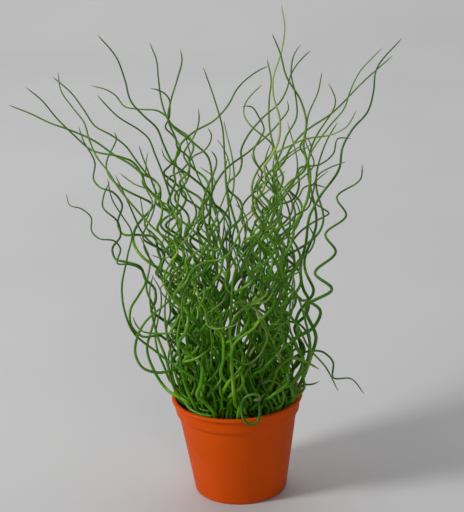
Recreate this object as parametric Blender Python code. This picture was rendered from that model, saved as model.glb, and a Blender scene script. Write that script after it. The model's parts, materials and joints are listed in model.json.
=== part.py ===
"""A corkscrew rush (Juncus effusus 'Spiralis') in its plastic nursery pot, at real size.

Lengths are in millimetres and angles in radians. They become metres where a mesh is made.
The origin is at the middle of the pot's base, +Z is up and the front of the plant looks along -Y.
A stem is one centre line, worked out by drawn_line or ruled_line and then bent clear of the others.
"""

import math

import bmesh
import bpy
import numpy as np

MM = 0.001
GAP = 0.35
# A cutter reaches this far past the face that it cuts
PAST = 5.0

# Pot: radii of its outside, heights above its base
POT_HEIGHT = 93.0
POT_WALL = 1.3
POT_SIDES = 32
LIP_RADIUS = 60.0
LIP_BOTTOM = 89.6
LIP_EDGE = 0.8
COLLAR_TOP_RADIUS = 57.8
COLLAR_RADIUS = 56.8
COLLAR_BOTTOM = 79.2
STEP_BOTTOM = 76.4
BODY_TOP_RADIUS = 54.1
BODY_FOOT_RADIUS = 43.2
FOOT_HEIGHT = 3.0
FOOT_RADIUS = 40.6
RING_INNER_RADIUS = 22.0
RING_OUTER_RADIUS = 37.0
RING_SLOPE = 1.5
RING_LIFT = 1.8
DRAIN_COUNT = 6
DRAIN_RADIUS = 4.0
DRAIN_CIRCLE = 29.5
DRAIN_SIDES = 8

# Compost: its top lies below the rim
SOIL_TOP = 80.0
SOIL_DIP = 1.6
SOIL_WAVES = 5
SOIL_SHOULDER = 30.0

# Crowns: the knobs of rhizome that each tuft of stems grows from
CROWN_RINGS = ((1, 0.0, 4), (6, 21.5, 5), (12, 42.0, 6))
CROWN_RADIUS = 7.0
CROWN_TOP_RADIUS = 6.0
CROWN_SIDES = 6
HOLE_RADIUS = 7.95
HOLE_SIDES = 8
CROWN_ABOVE = 2.5
CROWN_BELOW = 12.0
ROOT_CIRCLE = 4.4
ROOT_DEPTH = 9.0
FOOT_RISE = 3.0

# Stems: radii of the round stem, which its three-sided tube stands for
STEM_BASE_RADIUS = 1.7
STEM_TIP_RADIUS = 0.5
STEM_TAPER = 0.75
STEM_SIDES = 3
STEM_GIRTH = 1.3
LONGEST_RUN = 36.0
WIDEST_TURN = 1.45
FINE_STEP = 2.5

# The eye that the drawn stems were judged from, and the pitch of their corkscrews
EYE = np.array((0.0, -1464.0, 739.0))
PITCH = 46.0
DEEPEST_WAVE = 9.0
HIDDEN_WINDING = (5.0, 11.0)
HIDDEN_STEP = 11.0
HIDDEN_PULL = 0.75
HIDDEN_LEAN = 0.3

# Stems that stand out of the bush, from root to tip. Each has the place of its root, the depth
# of its tip behind the pot's middle, and the points (across, up) of its outline in the plane
# through the pot's middle. A third number is that point's own depth.
DRAWN_STEMS = {
    "far_left": ((-36, 8), 30, (
        (-74, 306), (-85, 316), (-97, 324), (-114, 338), (-137, 350), (-151, 356), (-167, 365),
        (-186, 374))),
    "far_left_low": ((-34, -16), -35, (
        (-74, 305), (-83, 319), (-92, 323), (-118, 331), (-130, 343), (-145, 360), (-158, 378),
        (-170, 389))),
    "left_waved": ((-28, -24), -84, (
        (-61, 249), (-74, 263), (-83, 275), (-96, 294), (-104, 309), (-114, 325), (-119, 341),
        (-122, 355), (-131, 369), (-140, 385), (-141, 401))),
    "left_elbow": ((-30, 20), 70, (
        (-65, 234), (-67, 245), (-79, 248), (-96, 251), (-99, 259), (-94, 279), (-101, 290),
        (-113, 296), (-117, 302), (-115, 318), (-124, 340), (-127, 352))),
    "left_tall": ((-20, 30), 98, (
        (-68, 303), (-79, 319), (-87, 332), (-98, 342), (-113, 352), (-121, 366), (-131, 382),
        (-146, 397))),
    "left_upper": ((-8, -12), -20, (
        (-15, 283), (-33, 303), (-46, 314), (-54, 332), (-59, 347), (-70, 359), (-80, 372),
        (-84, 391), (-90, 411), (-105, 432))),
    "left_level": ((-14, 38), 112, (
        (-50, 357), (-56, 362), (-74, 365), (-86, 368), (-93, 378), (-98, 382), (-114, 388))),
    "left_inner": ((-18, -38), -108, (
        (-51, 285), (-56, 305), (-62, 324), (-68, 340), (-73, 345), (-92, 359), (-109, 379))),
    "left_s": ((-4, 22), 62, (
        (-17, 252), (-16, 268), (-13, 298), (-16, 320), (-27, 332), (-47, 351), (-53, 369),
        (-55, 390), (-56, 408), (-61, 423))),
    "middle_left": ((-12, -20), -80, (
        (-43, 336), (-49, 355), (-46, 370), (-39, 390), (-34, 408), (-35, 416))),
    "middle": ((4, -22), -30, (
        (8, 250), (4, 267), (0, 288), (-1, 317), (-2, 346), (-7, 368), (-16, 399))),
    "crossing": ((-16, 12), 52, (
        (-45, 316), (-40, 331), (-28, 342), (-9, 352), (3, 364), (13, 380), (33, 395), (40, 398))),
    "left_zigzag": ((-42, -4), -22, (
        (-66, 153), (-83, 153), (-92, 163), (-92, 180), (-84, 193), (-77, 207), (-80, 217),
        (-91, 223), (-101, 224), (-98, 239), (-102, 245), (-117, 249), (-122, 255), (-122, 269),
        (-130, 277), (-140, 281), (-142, 291))),
    "left_bow": ((8, -42), -30, (
        (3, 88, -48), (-20, 98, -52), (-42, 113, -55), (-71, 137), (-91, 157), (-98, 180),
        (-99, 198), (-92, 230), (-87, 254), (-94, 268), (-102, 284), (-105, 304))),
    "left_snake": ((-38, 14), 34, (
        (-77, 208), (-81, 220), (-92, 225), (-103, 229), (-105, 238), (-97, 250), (-98, 262),
        (-111, 279), (-109, 289), (-103, 301))),
    "left_loop": ((-40, -14), -64, (
        (-56, 119), (-74, 117), (-86, 122), (-92, 135), (-90, 151), (-82, 166), (-60, 185),
        (-44, 202), (-38, 224), (-44, 246))),
    "left_base": ((-31, -28), 4, (
        (-44, 88, -38), (-63, 101), (-73, 119), (-78, 143), (-74, 156), (-69, 175), (-76, 198),
        (-72, 226), (-80, 250))),
    "tallest": ((14, 14), 15, (
        (38, 315), (46, 330), (48, 350), (43, 373), (43, 383), (52, 412), (55, 429), (53, 450))),
    "right_waved": ((26, -20), -60, (
        (57, 248), (70, 276), (73, 300), (68, 325), (71, 347), (67, 365), (55, 388), (50, 410),
        (44, 426))),
    "right_straight": ((10, 40), 92, (
        (45, 315), (40, 338), (40, 370), (42, 384), (39, 404))),
    "right_front": ((18, -38), -112, (
        (45, 314), (52, 334), (62, 351), (62, 371), (59, 392), (64, 410), (68, 415))),
    "right_back": ((4, 34), 70, (
        (13, 322), (18, 334), (32, 351), (50, 367), (56, 379), (58, 387), (69, 403), (77, 410))),
    "hook": ((0, -40), -96, (
        (26, 312), (24, 322), (31, 335), (34, 341), (30, 353), (23, 363), (16, 363))),
    "slant": ((-2, 6), 20, (
        (-14, 287), (-2, 306), (21, 323), (48, 348), (56, 360), (55, 367))),
    "right_short": ((22, 34), 125, (
        (69, 332), (73, 353), (82, 373), (86, 391))),
    "far_right_s": ((30, -8), -30, (
        (53, 292), (66, 301), (73, 317), (91, 342), (104, 357), (110, 373), (117, 387),
        (138, 409))),
    "far_right": ((40, 6), 24, (
        (64, 191), (62, 215), (67, 234), (72, 262), (81, 278), (99, 304), (102, 322), (111, 338),
        (125, 354), (130, 371), (132, 388), (155, 417))),
    "far_right_line": ((32, 24), 84, (
        (54, 320), (66, 335), (94, 354), (120, 379), (147, 402))),
    "right_bend": ((30, -30), -112, (
        (58, 325), (69, 330), (97, 335), (106, 340), (115, 355))),
    "right_steps": ((28, 30), 88, (
        (40, 271), (59, 278), (63, 289), (63, 304), (83, 308), (94, 317), (98, 330), (110, 330))),
    "right_shelf": ((36, -18), -86, (
        (58, 261), (70, 268), (75, 282), (80, 298), (90, 304), (105, 309))),
    "right_zigzag": ((42, -6), -12, (
        (60, 96), (70, 124), (75, 141), (67, 174), (90, 190), (75, 206), (94, 226), (85, 242),
        (104, 260), (96, 276), (118, 294), (119, 306))),
    "right_trailing": ((40, 16), -18, (
        (52, 124), (65, 131), (80, 130), (89, 120), (89, 104), (105, 102), (117, 86))),
    "right_falling": ((36, -24), -58, (
        (36, 160), (45, 172), (56, 157), (66, 135), (82, 114), (93, 90))),
    "front_arch": ((28, -38), -74, (
        (29, 101), (38, 118), (51, 125), (63, 121), (76, 113))),
    "front_curl": ((8, -38), -60, (
        (11, 121, -45), (13, 113, -50), (16, 101, -54), (19, 90, -57), (21, 78, -60),
        (21, 70, -63), (18, 63, -65), (12, 61, -66), (7, 64, -66), (4, 72, -65), (4, 80, -64),
        (6, 86, -64), (11, 90, -64), (16, 91, -65), (21, 89, -66), (21, 86, -67), (15, 85, -67))),
    "front_hook": ((-14, -42), -100, (
        (-30, 150), (-38, 172), (-30, 184), (-24, 172), (-20, 159), (-4, 159), (6, 173),
        (18, 180), (29, 181))),
    "front_swoop": ((38, -26), -70, (
        (60, 184), (51, 183), (39, 184), (26, 187), (18, 192), (13, 201), (11, 212), (14, 222),
        (20, 233), (24, 246))),
    "front_loop": ((-4, -44), -84, (
        (-4, 148), (-5, 139), (-5, 130), (1, 124), (9, 121), (17, 124), (22, 129), (26, 136),
        (30, 146), (27, 157), (22, 168))),
    "front_crook": ((30, -36), -62, ((43, 75), (45, 84), (43, 93), (38, 100), (31, 103), (23, 101))),
    "front_bow": ((12, -38), -66, ((13, 82), (9, 92), (6, 102), (8, 109), (13, 115), (20, 119))),
    "right_knot": ((44, -14), -46, (
        (65, 115), (68, 128), (68, 144), (65, 160), (62, 174), (57, 189), (50, 199), (45, 209),
        (38, 219), (28, 217), (20, 211), (15, 201))),
    "right_bow": ((42, -18), -52, (
        (51, 84), (54, 92), (52, 101), (47, 112), (40, 121), (34, 132), (32, 144))),
    "right_tip": ((20, -6), -20, ((57, 317), (65, 322), (70, 323), (75, 327))),
    "right_crook": ((24, 12), 20, ((63, 280), (66, 286), (72, 289), (77, 289), (87, 286))),
    "right_curl": ((34, 0), 0, (
        (60, 221), (65, 224), (70, 228), (73, 233), (75, 239), (73, 246), (70, 252))),
    "right_stub": ((44, -12), -14, ((58, 95), (62, 98), (67, 98), (72, 99), (76, 101))),
    "left_fan": ((-42, -8), -14, (
        (-50, 87), (-56, 104), (-59, 119), (-63, 134), (-68, 149), (-72, 167), (-74, 182),
        (-74, 198), (-70, 212))),
    "left_upright": ((-36, -20), -46, (
        (-46, 84), (-51, 103), (-55, 121), (-57, 138), (-60, 153), (-61, 170), (-60, 187),
        (-56, 202), (-48, 215))),
    "left_outer": ((-44, 2), 26, (
        (-60, 106), (-66, 123), (-71, 139), (-72, 154), (-69, 168), (-65, 183), (-65, 197),
        (-71, 211))),
    "left_mid": ((-32, -30), -66, (
        (-39, 81), (-47, 100), (-50, 116), (-52, 133), (-53, 148), (-50, 165), (-45, 182),
        (-46, 198), (-53, 214))),
    "left_tip": ((-20, 4), 10, ((-28, 337), (-24, 345), (-22, 353), (-22, 363))),
    "left_short": ((-30, 12), 20, ((-71, 308), (-70, 318), (-68, 326))),
    "left_shorter": ((-26, 20), 40, ((-49, 315), (-54, 321), (-56, 329))),
    "left_low_tip": ((-38, 4), 0, ((-71, 292), (-81, 297), (-94, 308))),
    "left_bracket": ((-40, -20), -30, (
        (-49, 155), (-63, 155), (-76, 156), (-83, 158), (-88, 164), (-91, 173))),
    "left_crook": ((-24, 28), 60, ((-47, 365), (-47, 372), (-50, 377), (-56, 381), (-63, 383))),
    "middle_tip": ((-14, -12), -30, ((-29, 320), (-19, 325), (-14, 331), (-12, 339), (-15, 346))),
}

# Stems that fill the bush, by rule: a spine that leans out and arches, wound into a corkscrew
SEED = 7
RULED_HEIGHT = (105.0, 245.0)
RULED_REACH = (0.12, 0.36)
RULED_WINDING = (6.0, 15.0)
RULED_PITCH = (58.0, 105.0)
RULED_SPREAD = 0.6
RULED_SWAY = 18.0
RULED_SWAY_TURN = 5.0
RULED_LEAN = 0.6
RULED_ARCH = 2.2
RULED_GROWN_BY = 0.45
RULED_TIP_LOSS = 0.3
RULED_STEP = 7.0
RULED_UNEVENNESS = 0.5
WANDER_TURNS = (0.6, 1.7)
WANDER_HURRY = 2.4
HEIGHT_FAVOUR = 0.15
REACH_FAVOUR = 0.8

# Bending clear: stems keep this far apart, and off the lip and the compost
CLEAR = 0.5
LIP_GIRTH = 2.7
LIP_POINTS = 49
CLEAR_ROUNDS = 160
SETTLE_ROUNDS = 40
PAIR_REACH = 7.0
MOST_PUSH = 2.0
SPREAD = 0.15
PAIR_ROUNDS = 8


def clear_scene():
    for thing in list(bpy.data.objects):
        bpy.data.objects.remove(thing, do_unlink=True)


def painted(name, colour, roughness):
    """A plain material in one colour."""
    material = bpy.data.materials.new(name)
    material.use_nodes = True
    shader = material.node_tree.nodes["Principled BSDF"]
    shader.inputs["Base Color"].default_value = (*colour, 1.0)
    shader.inputs["Roughness"].default_value = roughness
    shader.inputs["Metallic"].default_value = 0.0
    return material


def placed(mesh, material):
    """An object in the scene that holds this mesh, shaded smooth where it is round."""
    mesh.materials.append(material)
    mesh.shade_smooth()
    mesh.set_sharp_from_angle(angle=math.radians(40))
    made = bpy.data.objects.new(mesh.name, mesh)
    bpy.context.scene.collection.objects.link(made)
    return made


def turned(name, profile, sides, material):
    """A solid turned about Z from a profile of (radius, height), both of whose ends are on Z."""
    shape = bmesh.new()
    ring = [shape.verts.new((radius * MM, 0.0, height * MM)) for radius, height in profile]
    edges = [shape.edges.new(pair) for pair in zip(ring, ring[1:])]
    bmesh.ops.spin(shape, geom=ring + edges, cent=(0, 0, 0), axis=(0, 0, 1),
                   angle=math.tau, steps=sides, use_merge=True)
    bmesh.ops.remove_doubles(shape, verts=shape.verts, dist=0.01 * MM)
    bmesh.ops.recalc_face_normals(shape, faces=shape.faces)
    mesh = bpy.data.meshes.new(name)
    shape.to_mesh(mesh)
    shape.free()
    return placed(mesh, material)


def combine(target, others, operation, solver="EXACT"):
    """Joins the others to the target, or cuts them from it, with one Boolean, and removes them."""
    group = bpy.data.collections.new(target.name + "_others")
    for other in others:
        bpy.context.scene.collection.objects.unlink(other)
        group.objects.link(other)
    bpy.context.scene.collection.children.link(group)
    boolean = target.modifiers.new("combine", "BOOLEAN")
    boolean.operand_type = "COLLECTION"
    boolean.operation = operation
    boolean.solver = solver
    boolean.collection = group
    bpy.context.view_layer.update()
    graph = bpy.context.evaluated_depsgraph_get()
    target.data = bpy.data.meshes.new_from_object(target.evaluated_get(graph))
    target.modifiers.clear()
    for other in others:
        bpy.data.objects.remove(other, do_unlink=True)
    bpy.data.collections.remove(group)


def make_pot(plastic):
    """A thin nursery pot: rolled lip, collar, tapered body, and a raised ring with drain holes."""
    wall = POT_WALL
    outside = [
        (0.0, 0.0),
        (RING_INNER_RADIUS, 0.0),
        (RING_INNER_RADIUS + RING_SLOPE, RING_LIFT),
        (RING_OUTER_RADIUS - RING_SLOPE, RING_LIFT),
        (RING_OUTER_RADIUS, 0.0),
        (FOOT_RADIUS, 0.0),
        (BODY_FOOT_RADIUS, FOOT_HEIGHT),
        (BODY_TOP_RADIUS, STEP_BOTTOM),
        (COLLAR_RADIUS, COLLAR_BOTTOM),
        (COLLAR_TOP_RADIUS, LIP_BOTTOM),
        (LIP_RADIUS, LIP_BOTTOM + LIP_EDGE),
        (LIP_RADIUS, POT_HEIGHT - LIP_EDGE),
        (LIP_RADIUS - LIP_EDGE, POT_HEIGHT),
    ]
    inside = [
        (COLLAR_TOP_RADIUS - wall, POT_HEIGHT - LIP_EDGE),
        (COLLAR_RADIUS - wall, COLLAR_BOTTOM),
        (BODY_TOP_RADIUS - wall, STEP_BOTTOM),
        (BODY_FOOT_RADIUS - wall, FOOT_HEIGHT),
        (RING_OUTER_RADIUS + RING_SLOPE, wall),
        (RING_OUTER_RADIUS, RING_LIFT + wall),
        (RING_INNER_RADIUS, RING_LIFT + wall),
        (RING_INNER_RADIUS - RING_SLOPE, wall),
        (0.0, wall),
    ]
    pot = turned("pot", outside + inside, POT_SIDES, plastic)
    floor_top = RING_LIFT + wall
    drill = [(0.0, -PAST), (DRAIN_RADIUS, -PAST), (DRAIN_RADIUS, floor_top + PAST), (0.0, floor_top + PAST)]
    drills = []
    for turn in range(DRAIN_COUNT):
        angle = math.tau * turn / DRAIN_COUNT
        drills.append(turned("drill", drill, DRAIN_SIDES, plastic))
        drills[-1].location = (DRAIN_CIRCLE * MM * math.cos(angle), DRAIN_CIRCLE * MM * math.sin(angle), 0.0)
    combine(pot, drills, "DIFFERENCE")


def crown_places():
    """Centres of the crowns, in rings, and the number of stems that each carries."""
    places = []
    for count, radius, stems in CROWN_RINGS:
        for turn in range(count):
            angle = math.tau * (turn + 0.5) / count
            places.append((radius * math.cos(angle), radius * math.sin(angle), stems))
    return places


def make_soil(compost, places):
    """The compost: it fills the pot's inside, has an uneven top, and a plain hole for each crown."""
    body_slope = (BODY_TOP_RADIUS - BODY_FOOT_RADIUS) / (STEP_BOTTOM - FOOT_HEIGHT)
    inset = POT_WALL + GAP
    foot = RING_LIFT + inset
    profile = [
        (0.0, foot),
        (BODY_FOOT_RADIUS - inset + body_slope * (foot - FOOT_HEIGHT), foot),
        (BODY_TOP_RADIUS - inset, STEP_BOTTOM + GAP),
        (COLLAR_RADIUS - inset, COLLAR_BOTTOM + GAP),
        (COLLAR_RADIUS - inset, SOIL_TOP),
        (SOIL_SHOULDER, SOIL_TOP),
        (0.0, SOIL_TOP),
    ]
    soil = turned("soil", profile, POT_SIDES, compost)
    for vertex in soil.data.vertices:
        angle = math.atan2(vertex.co.y, vertex.co.x)
        radius = math.hypot(vertex.co.x, vertex.co.y) / MM
        if vertex.co.z > (SOIL_TOP - GAP) * MM and radius < SOIL_SHOULDER + GAP:
            vertex.co.z -= SOIL_DIP * MM * math.sin(SOIL_WAVES * angle + radius) ** 2
    bottom = SOIL_TOP - CROWN_BELOW - GAP
    hole = [(0.0, bottom), (HOLE_RADIUS, bottom), (HOLE_RADIUS, SOIL_TOP + PAST), (0.0, SOIL_TOP + PAST)]
    holes = []
    for across, depth, _ in places:
        holes.append(turned("hole", hole, HOLE_SIDES, compost))
        holes[-1].location = (across * MM, depth * MM, 0.0)
    combine(soil, holes, "DIFFERENCE")


def along(points):
    """Distance of each point along the line through them."""
    steps = np.linalg.norm(np.diff(points, axis=0), axis=1)
    return np.concatenate([[0.0], np.cumsum(steps)])


def smooth_through(points, places):
    """Cubic curve through the points, read at these distances along them.

    Its slope at a point is the mean of the two runs beside it, each weighted by the other's length.
    """
    knots = along(points)
    run = np.diff(knots)[:, None]
    slope = np.diff(points, axis=0) / run
    middle = (slope[:-1] * run[1:] + slope[1:] * run[:-1]) / (run[1:] + run[:-1])
    tangent = np.concatenate([slope[:1], middle, slope[-1:]])
    left = np.clip(np.searchsorted(knots, places, "right") - 1, 0, len(points) - 2)
    part = ((places - knots[left]) / run[left, 0])[:, None]
    bend = part * part * (3.0 - 2.0 * part)
    rise = part * (1.0 - part) ** 2
    fall = part * part * (part - 1.0)
    return (points[left] * (1.0 - bend) + points[left + 1] * bend
            + run[left] * (rise * tangent[left] + fall * tangent[left + 1]))


def finely(points):
    """The smooth curve through the points, in steps of about FINE_STEP."""
    length = along(points)[-1]
    return smooth_through(points, np.linspace(0.0, length, int(length / FINE_STEP) + 2))


def root_points(place):
    """The straight stretch at a stem's foot: sunk in its crown, then out of the top of it."""
    heights = (SOIL_TOP - ROOT_DEPTH + CROWN_ABOVE, SOIL_TOP + CROWN_ABOVE + FOOT_RISE)
    return np.array([(place[0], place[1], height) for height in heights])


def hidden_stretch(foot, first, second, rng):
    """Points from the foot of a stem to the first drawn one.

    They follow a cubic arc that leaves the foot upwards and a little outwards and arrives in line
    with the drawn part. The stem winds round it, most in the middle and not at all at the ends.
    """
    span = np.linalg.norm(first - foot)
    steps = max(int(span / HIDDEN_STEP), 1)
    part = (np.arange(1, steps) / steps)[:, None]
    rise = np.array((*foot[:2] / SOIL_SHOULDER * HIDDEN_LEAN, 1.0))
    start = HIDDEN_PULL * span * rise
    end = HIDDEN_PULL * span * (second - first) / np.linalg.norm(second - first)
    arc = (foot * (1 + 2 * part) * (1 - part) ** 2 + start * part * (1 - part) ** 2
           + first * part ** 2 * (3 - 2 * part) + end * part ** 2 * (part - 1))
    angle = rng.uniform(0.0, math.tau) + math.tau * part[:, 0] * span / PITCH
    winding = rng.uniform(*HIDDEN_WINDING) * np.sin(math.pi * part[:, 0]) ** 0.5
    arc[:, 0] += winding * np.cos(angle)
    arc[:, 1] += winding * np.sin(angle)
    return arc


def drawn_line(place, tip_depth, outline, rng):
    """Centre line of a drawn stem.

    Each point of the outline is moved along the line of sight to its depth, which runs evenly from
    the root's to the tip's. The depth also sways by the slope of the outline's own waves times
    pitch / (2 pi), which turns a flat wave into a corkscrew of the same outline.
    """
    flat = np.array([(point[0], 0.0, point[1]) for point in outline])
    foot = root_points(place)
    share = along(np.concatenate([foot[1:], flat]))[1:]
    share = share / share[-1]
    depth = place[1] + (tip_depth - place[1]) * share
    for index, point in enumerate(outline):
        if len(point) == 3:
            depth[index] = point[2]
    seen = flat + (flat - EYE) * (depth / -EYE[1])[:, None]
    hidden = hidden_stretch(foot[1], seen[0], seen[1], rng)
    line = finely(np.concatenate([foot, hidden, seen]))
    if any(len(point) == 3 for point in outline):
        return line
    width = int(PITCH / FINE_STEP)
    padded = np.concatenate([np.repeat(line[:1], width, 0), line, np.repeat(line[-1:], width, 0)])
    mean = np.ones(2 * width + 1) / (2 * width + 1)
    spine = np.stack([np.convolve(padded[:, k], mean, "valid") for k in range(3)], axis=1)
    heading = np.gradient(spine, axis=0)
    heading /= np.linalg.norm(heading, axis=1)[:, None]
    sideways = (line - spine)[:, 0] * heading[:, 2] - (line - spine)[:, 2] * heading[:, 0]
    sway = np.gradient(sideways) / FINE_STEP * PITCH / math.tau
    seen_part = np.clip((along(line) - along(np.concatenate([foot, hidden]))[-1]) / PITCH, 0.0, 1.0)
    sway = np.clip(sway, -DEEPEST_WAVE, DEEPEST_WAVE) * seen_part
    return line + (line - EYE) * (sway / -EYE[1])[:, None]


def ruled_line(place, rng):
    """Centre line of a stem that fills the bush.

    Its spine rises to a height drawn at random, leans outwards more and more, and sways to one
    side and back. Round it the stem winds, in turns that widen up to RULED_GROWN_BY of its way.
    A slow wave of its own makes the winding wider here and narrower there, and hurries and slows it.
    Stems that lean to the front or the back are favoured: they are longer and reach further out.
    """
    outward = math.atan2(place[1], place[0]) + rng.normal(0.0, RULED_SPREAD)
    favour = abs(math.sin(outward))
    height = rng.uniform(*RULED_HEIGHT) * (1.0 + HEIGHT_FAVOUR * favour)
    reach = height * rng.uniform(*RULED_REACH) * (1.0 + REACH_FAVOUR * favour)
    sway = rng.uniform(-RULED_SWAY, RULED_SWAY)
    winding = rng.uniform(*RULED_WINDING)
    pitch = rng.uniform(*RULED_PITCH)
    start = rng.uniform(0.0, math.tau)
    hand = rng.choice((-1.0, 1.0))
    foot = root_points(place)
    steps = int(height / RULED_STEP)
    part = np.arange(1, steps + 1) / steps
    out = reach * (RULED_LEAN * part + (1.0 - RULED_LEAN) * part ** RULED_ARCH)
    side = sway * np.sin(RULED_SWAY_TURN * part)
    wander = np.sin(math.tau * (rng.uniform(*WANDER_TURNS) * part + rng.uniform())) * RULED_UNEVENNESS
    angle = start + hand * math.tau * part * height / pitch + WANDER_HURRY * wander
    grown = np.clip(part / RULED_GROWN_BY, 0.0, 1.0) * (1.0 - RULED_TIP_LOSS * part) * (1.0 + wander)
    grown = winding * grown
    along_lean = out + grown * np.cos(angle)
    across_lean = side + grown * np.sin(angle)
    spine = np.stack([
        place[0] + along_lean * math.cos(outward) - across_lean * math.sin(outward),
        place[1] + along_lean * math.sin(outward) + across_lean * math.cos(outward),
        foot[1, 2] + height * part,
    ], axis=1)
    return finely(np.concatenate([foot, spine]))


def read_at(line, places):
    """The line's points at these distances along it."""
    return np.stack([np.interp(places, along(line), line[:, k]) for k in range(3)], axis=1)


def spaced(line):
    """Distances along a line of its root, its foot's top, and a point for each share of the rest.

    A share is a run of LONGEST_RUN, or a turn of WIDEST_TURN, or some of each.
    """
    heading = np.diff(line, axis=0) / np.diff(along(line))[:, None]
    turning = np.arccos(np.clip((heading[1:] * heading[:-1]).sum(axis=1), -1.0, 1.0))
    cost = along(line) / LONGEST_RUN
    cost[2:] += np.cumsum(turning) / WIDEST_TURN
    foot = ROOT_DEPTH + FOOT_RISE
    start = np.interp(foot, along(line), cost)
    wanted = np.linspace(start, cost[-1], int(cost[-1] - start) + 2)
    return np.concatenate([[0.0, foot], np.interp(wanted[1:], cost, along(line))])


def stem_radii(points):
    """Radius at each point: it tapers from base to tip by a power of the way that is left."""
    left = 1.0 - along(points) / along(points)[-1]
    return STEM_TIP_RADIUS + (STEM_BASE_RADIUS - STEM_TIP_RADIUS) * left ** STEM_TAPER


def nearest_between(points, first, second):
    """Where each pair of runs comes nearest: the share along each, and the way from one to other."""
    run_a = points[first + 1] - points[first]
    run_b = points[second + 1] - points[second]
    apart = points[first] - points[second]
    aa, bb, ab = (run_a * run_a).sum(1), (run_b * run_b).sum(1), (run_a * run_b).sum(1)
    ad, bd = (run_a * apart).sum(1), (run_b * apart).sum(1)
    share_a = np.clip((ab * bd - ad * bb) / np.maximum(aa * bb - ab * ab, 1e-9), 0.0, 1.0)
    share_b = np.clip((ab * share_a + bd) / bb, 0.0, 1.0)
    share_a = np.clip((ab * share_b - ad) / aa, 0.0, 1.0)
    way = apart + run_a * share_a[:, None] - run_b * share_b[:, None]
    return share_a, share_b, way


def close_pairs(points, stem, free):
    """Pairs of runs of different stems that come within PAIR_REACH, of which one at least is free."""
    starts = np.flatnonzero(stem[:-1] == stem[1:])
    middle = (points[starts] + points[starts + 1]) / 2
    half = np.linalg.norm(points[starts + 1] - points[starts], axis=1) / 2
    distance = np.linalg.norm(middle[:, None] - middle[None], axis=2)
    near = distance < half[:, None] + half[None] + PAIR_REACH
    near &= stem[starts][:, None] < stem[starts][None]
    near &= free[starts][:, None] | free[starts][None]
    first, second = np.nonzero(near)
    return starts[first], starts[second]


def keep_off_pot(points, girth, free):
    """Moves free points out of the pot's wall, and up from the compost."""
    room = girth + CLEAR
    out = np.hypot(points[:, 0], points[:, 1])
    inner = COLLAR_TOP_RADIUS - POT_WALL - room
    outer = LIP_RADIUS + room
    at_lip = free & (points[:, 2] < POT_HEIGHT) & (out > inner) & (out < outer)
    target = np.where(out < (inner + outer) / 2, inner, outer)
    scale = np.where(at_lip, target / np.maximum(out, 1e-9), 1.0)
    points[:, :2] *= scale[:, None]
    low = free & (out < LIP_RADIUS)
    points[low, 2] = np.maximum(points[low, 2], SOIL_TOP + CROWN_ABOVE + room[low])


def lip_ring():
    """The middle line of the pot's lip, as a closed ring of points."""
    angle = np.linspace(0.0, math.tau, LIP_POINTS)
    radius = (LIP_RADIUS + COLLAR_TOP_RADIUS - POT_WALL) / 2
    height = (POT_HEIGHT + LIP_BOTTOM) / 2
    return np.stack([radius * np.cos(angle), radius * np.sin(angle), np.full(LIP_POINTS, height)], axis=1)


def bend_clear(lines):
    """Bends stems clear of each other, of the lip and of the compost.

    Where two runs come too near, each is pushed back by half of what is short, its ends by their
    share. Each round spreads the moves along a stem, and the last rounds only push. The lip takes
    part as one more line, which stays where it is.
    """
    points = np.concatenate([*lines, lip_ring()])
    sizes = [len(line) for line in lines] + [LIP_POINTS]
    stem = np.repeat(np.arange(len(sizes)), sizes)
    girth = [stem_radii(line) * STEM_GIRTH for line in lines]
    girth = np.concatenate([*girth, np.full(LIP_POINTS, LIP_GIRTH)])
    first_of = np.concatenate([[0], np.cumsum(sizes)])[:-1]
    free = stem < len(lines)
    free[first_of] = False
    free[first_of + 1] = False
    inner = np.flatnonzero((stem[:-2] == stem[2:])) + 1
    at_rest = points.copy()
    for turn in range(CLEAR_ROUNDS + SETTLE_ROUNDS):
        if turn % PAIR_ROUNDS == 0:
            first, second = close_pairs(points, stem, free)
        share_a, share_b, way = nearest_between(points, first, second)
        distance = np.linalg.norm(way, axis=1)
        needed = girth[first] + girth[second] + CLEAR
        push = np.maximum(needed - distance, 0.0) * 0.5
        across = np.cross(points[first + 1] - points[first], points[second + 1] - points[second])
        across /= np.linalg.norm(across, axis=1)[:, None] + 1e-9
        heading = np.where(distance[:, None] > 0.05, way / (distance[:, None] + 1e-9), across)
        move = np.zeros_like(points)
        for run, share, sign in ((first, share_a, 1.0), (second, share_b, -1.0)):
            grip = sign * push / ((1.0 - share) ** 2 + share ** 2)
            np.add.at(move, run, heading * (grip * (1.0 - share))[:, None])
            np.add.at(move, run + 1, heading * (grip * share)[:, None])
        points[free] += np.clip(move[free], -MOST_PUSH, MOST_PUSH)
        if turn < CLEAR_ROUNDS:
            moved = points - at_rest
            spread = moved.copy()
            spread[inner] += SPREAD * (moved[inner - 1] + moved[inner + 1] - 2.0 * moved[inner])
            points = np.where(free[:, None], at_rest + spread, points)
        keep_off_pot(points, girth, free)
    return np.split(points, first_of[1:])[:-1]


def stem_lines(places):
    """Centre lines of all stems, and the crown that each grows from."""
    slots = []
    for crown, (across, depth, stems) in enumerate(places):
        for turn in range(stems):
            angle = math.tau * turn / stems + crown
            slots.append((across + ROOT_CIRCLE * math.cos(angle),
                          depth + ROOT_CIRCLE * math.sin(angle), crown))
    slots = np.array(slots)
    taken = np.zeros(len(slots), bool)
    rng = np.random.default_rng(SEED)
    lines, crowns = [], []
    for root, tip_depth, outline in DRAWN_STEMS.values():
        away = np.hypot(slots[:, 0] - root[0], slots[:, 1] - root[1])
        slot = int(np.argmin(np.where(taken, np.inf, away)))
        taken[slot] = True
        lines.append(drawn_line(slots[slot, :2], tip_depth, outline, rng))
        crowns.append(int(slots[slot, 2]))
    for slot in np.flatnonzero(~taken):
        lines.append(ruled_line(slots[slot, :2], rng))
        crowns.append(int(slots[slot, 2]))
    return bend_clear([read_at(line, spaced(line)) for line in lines]), crowns


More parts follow.
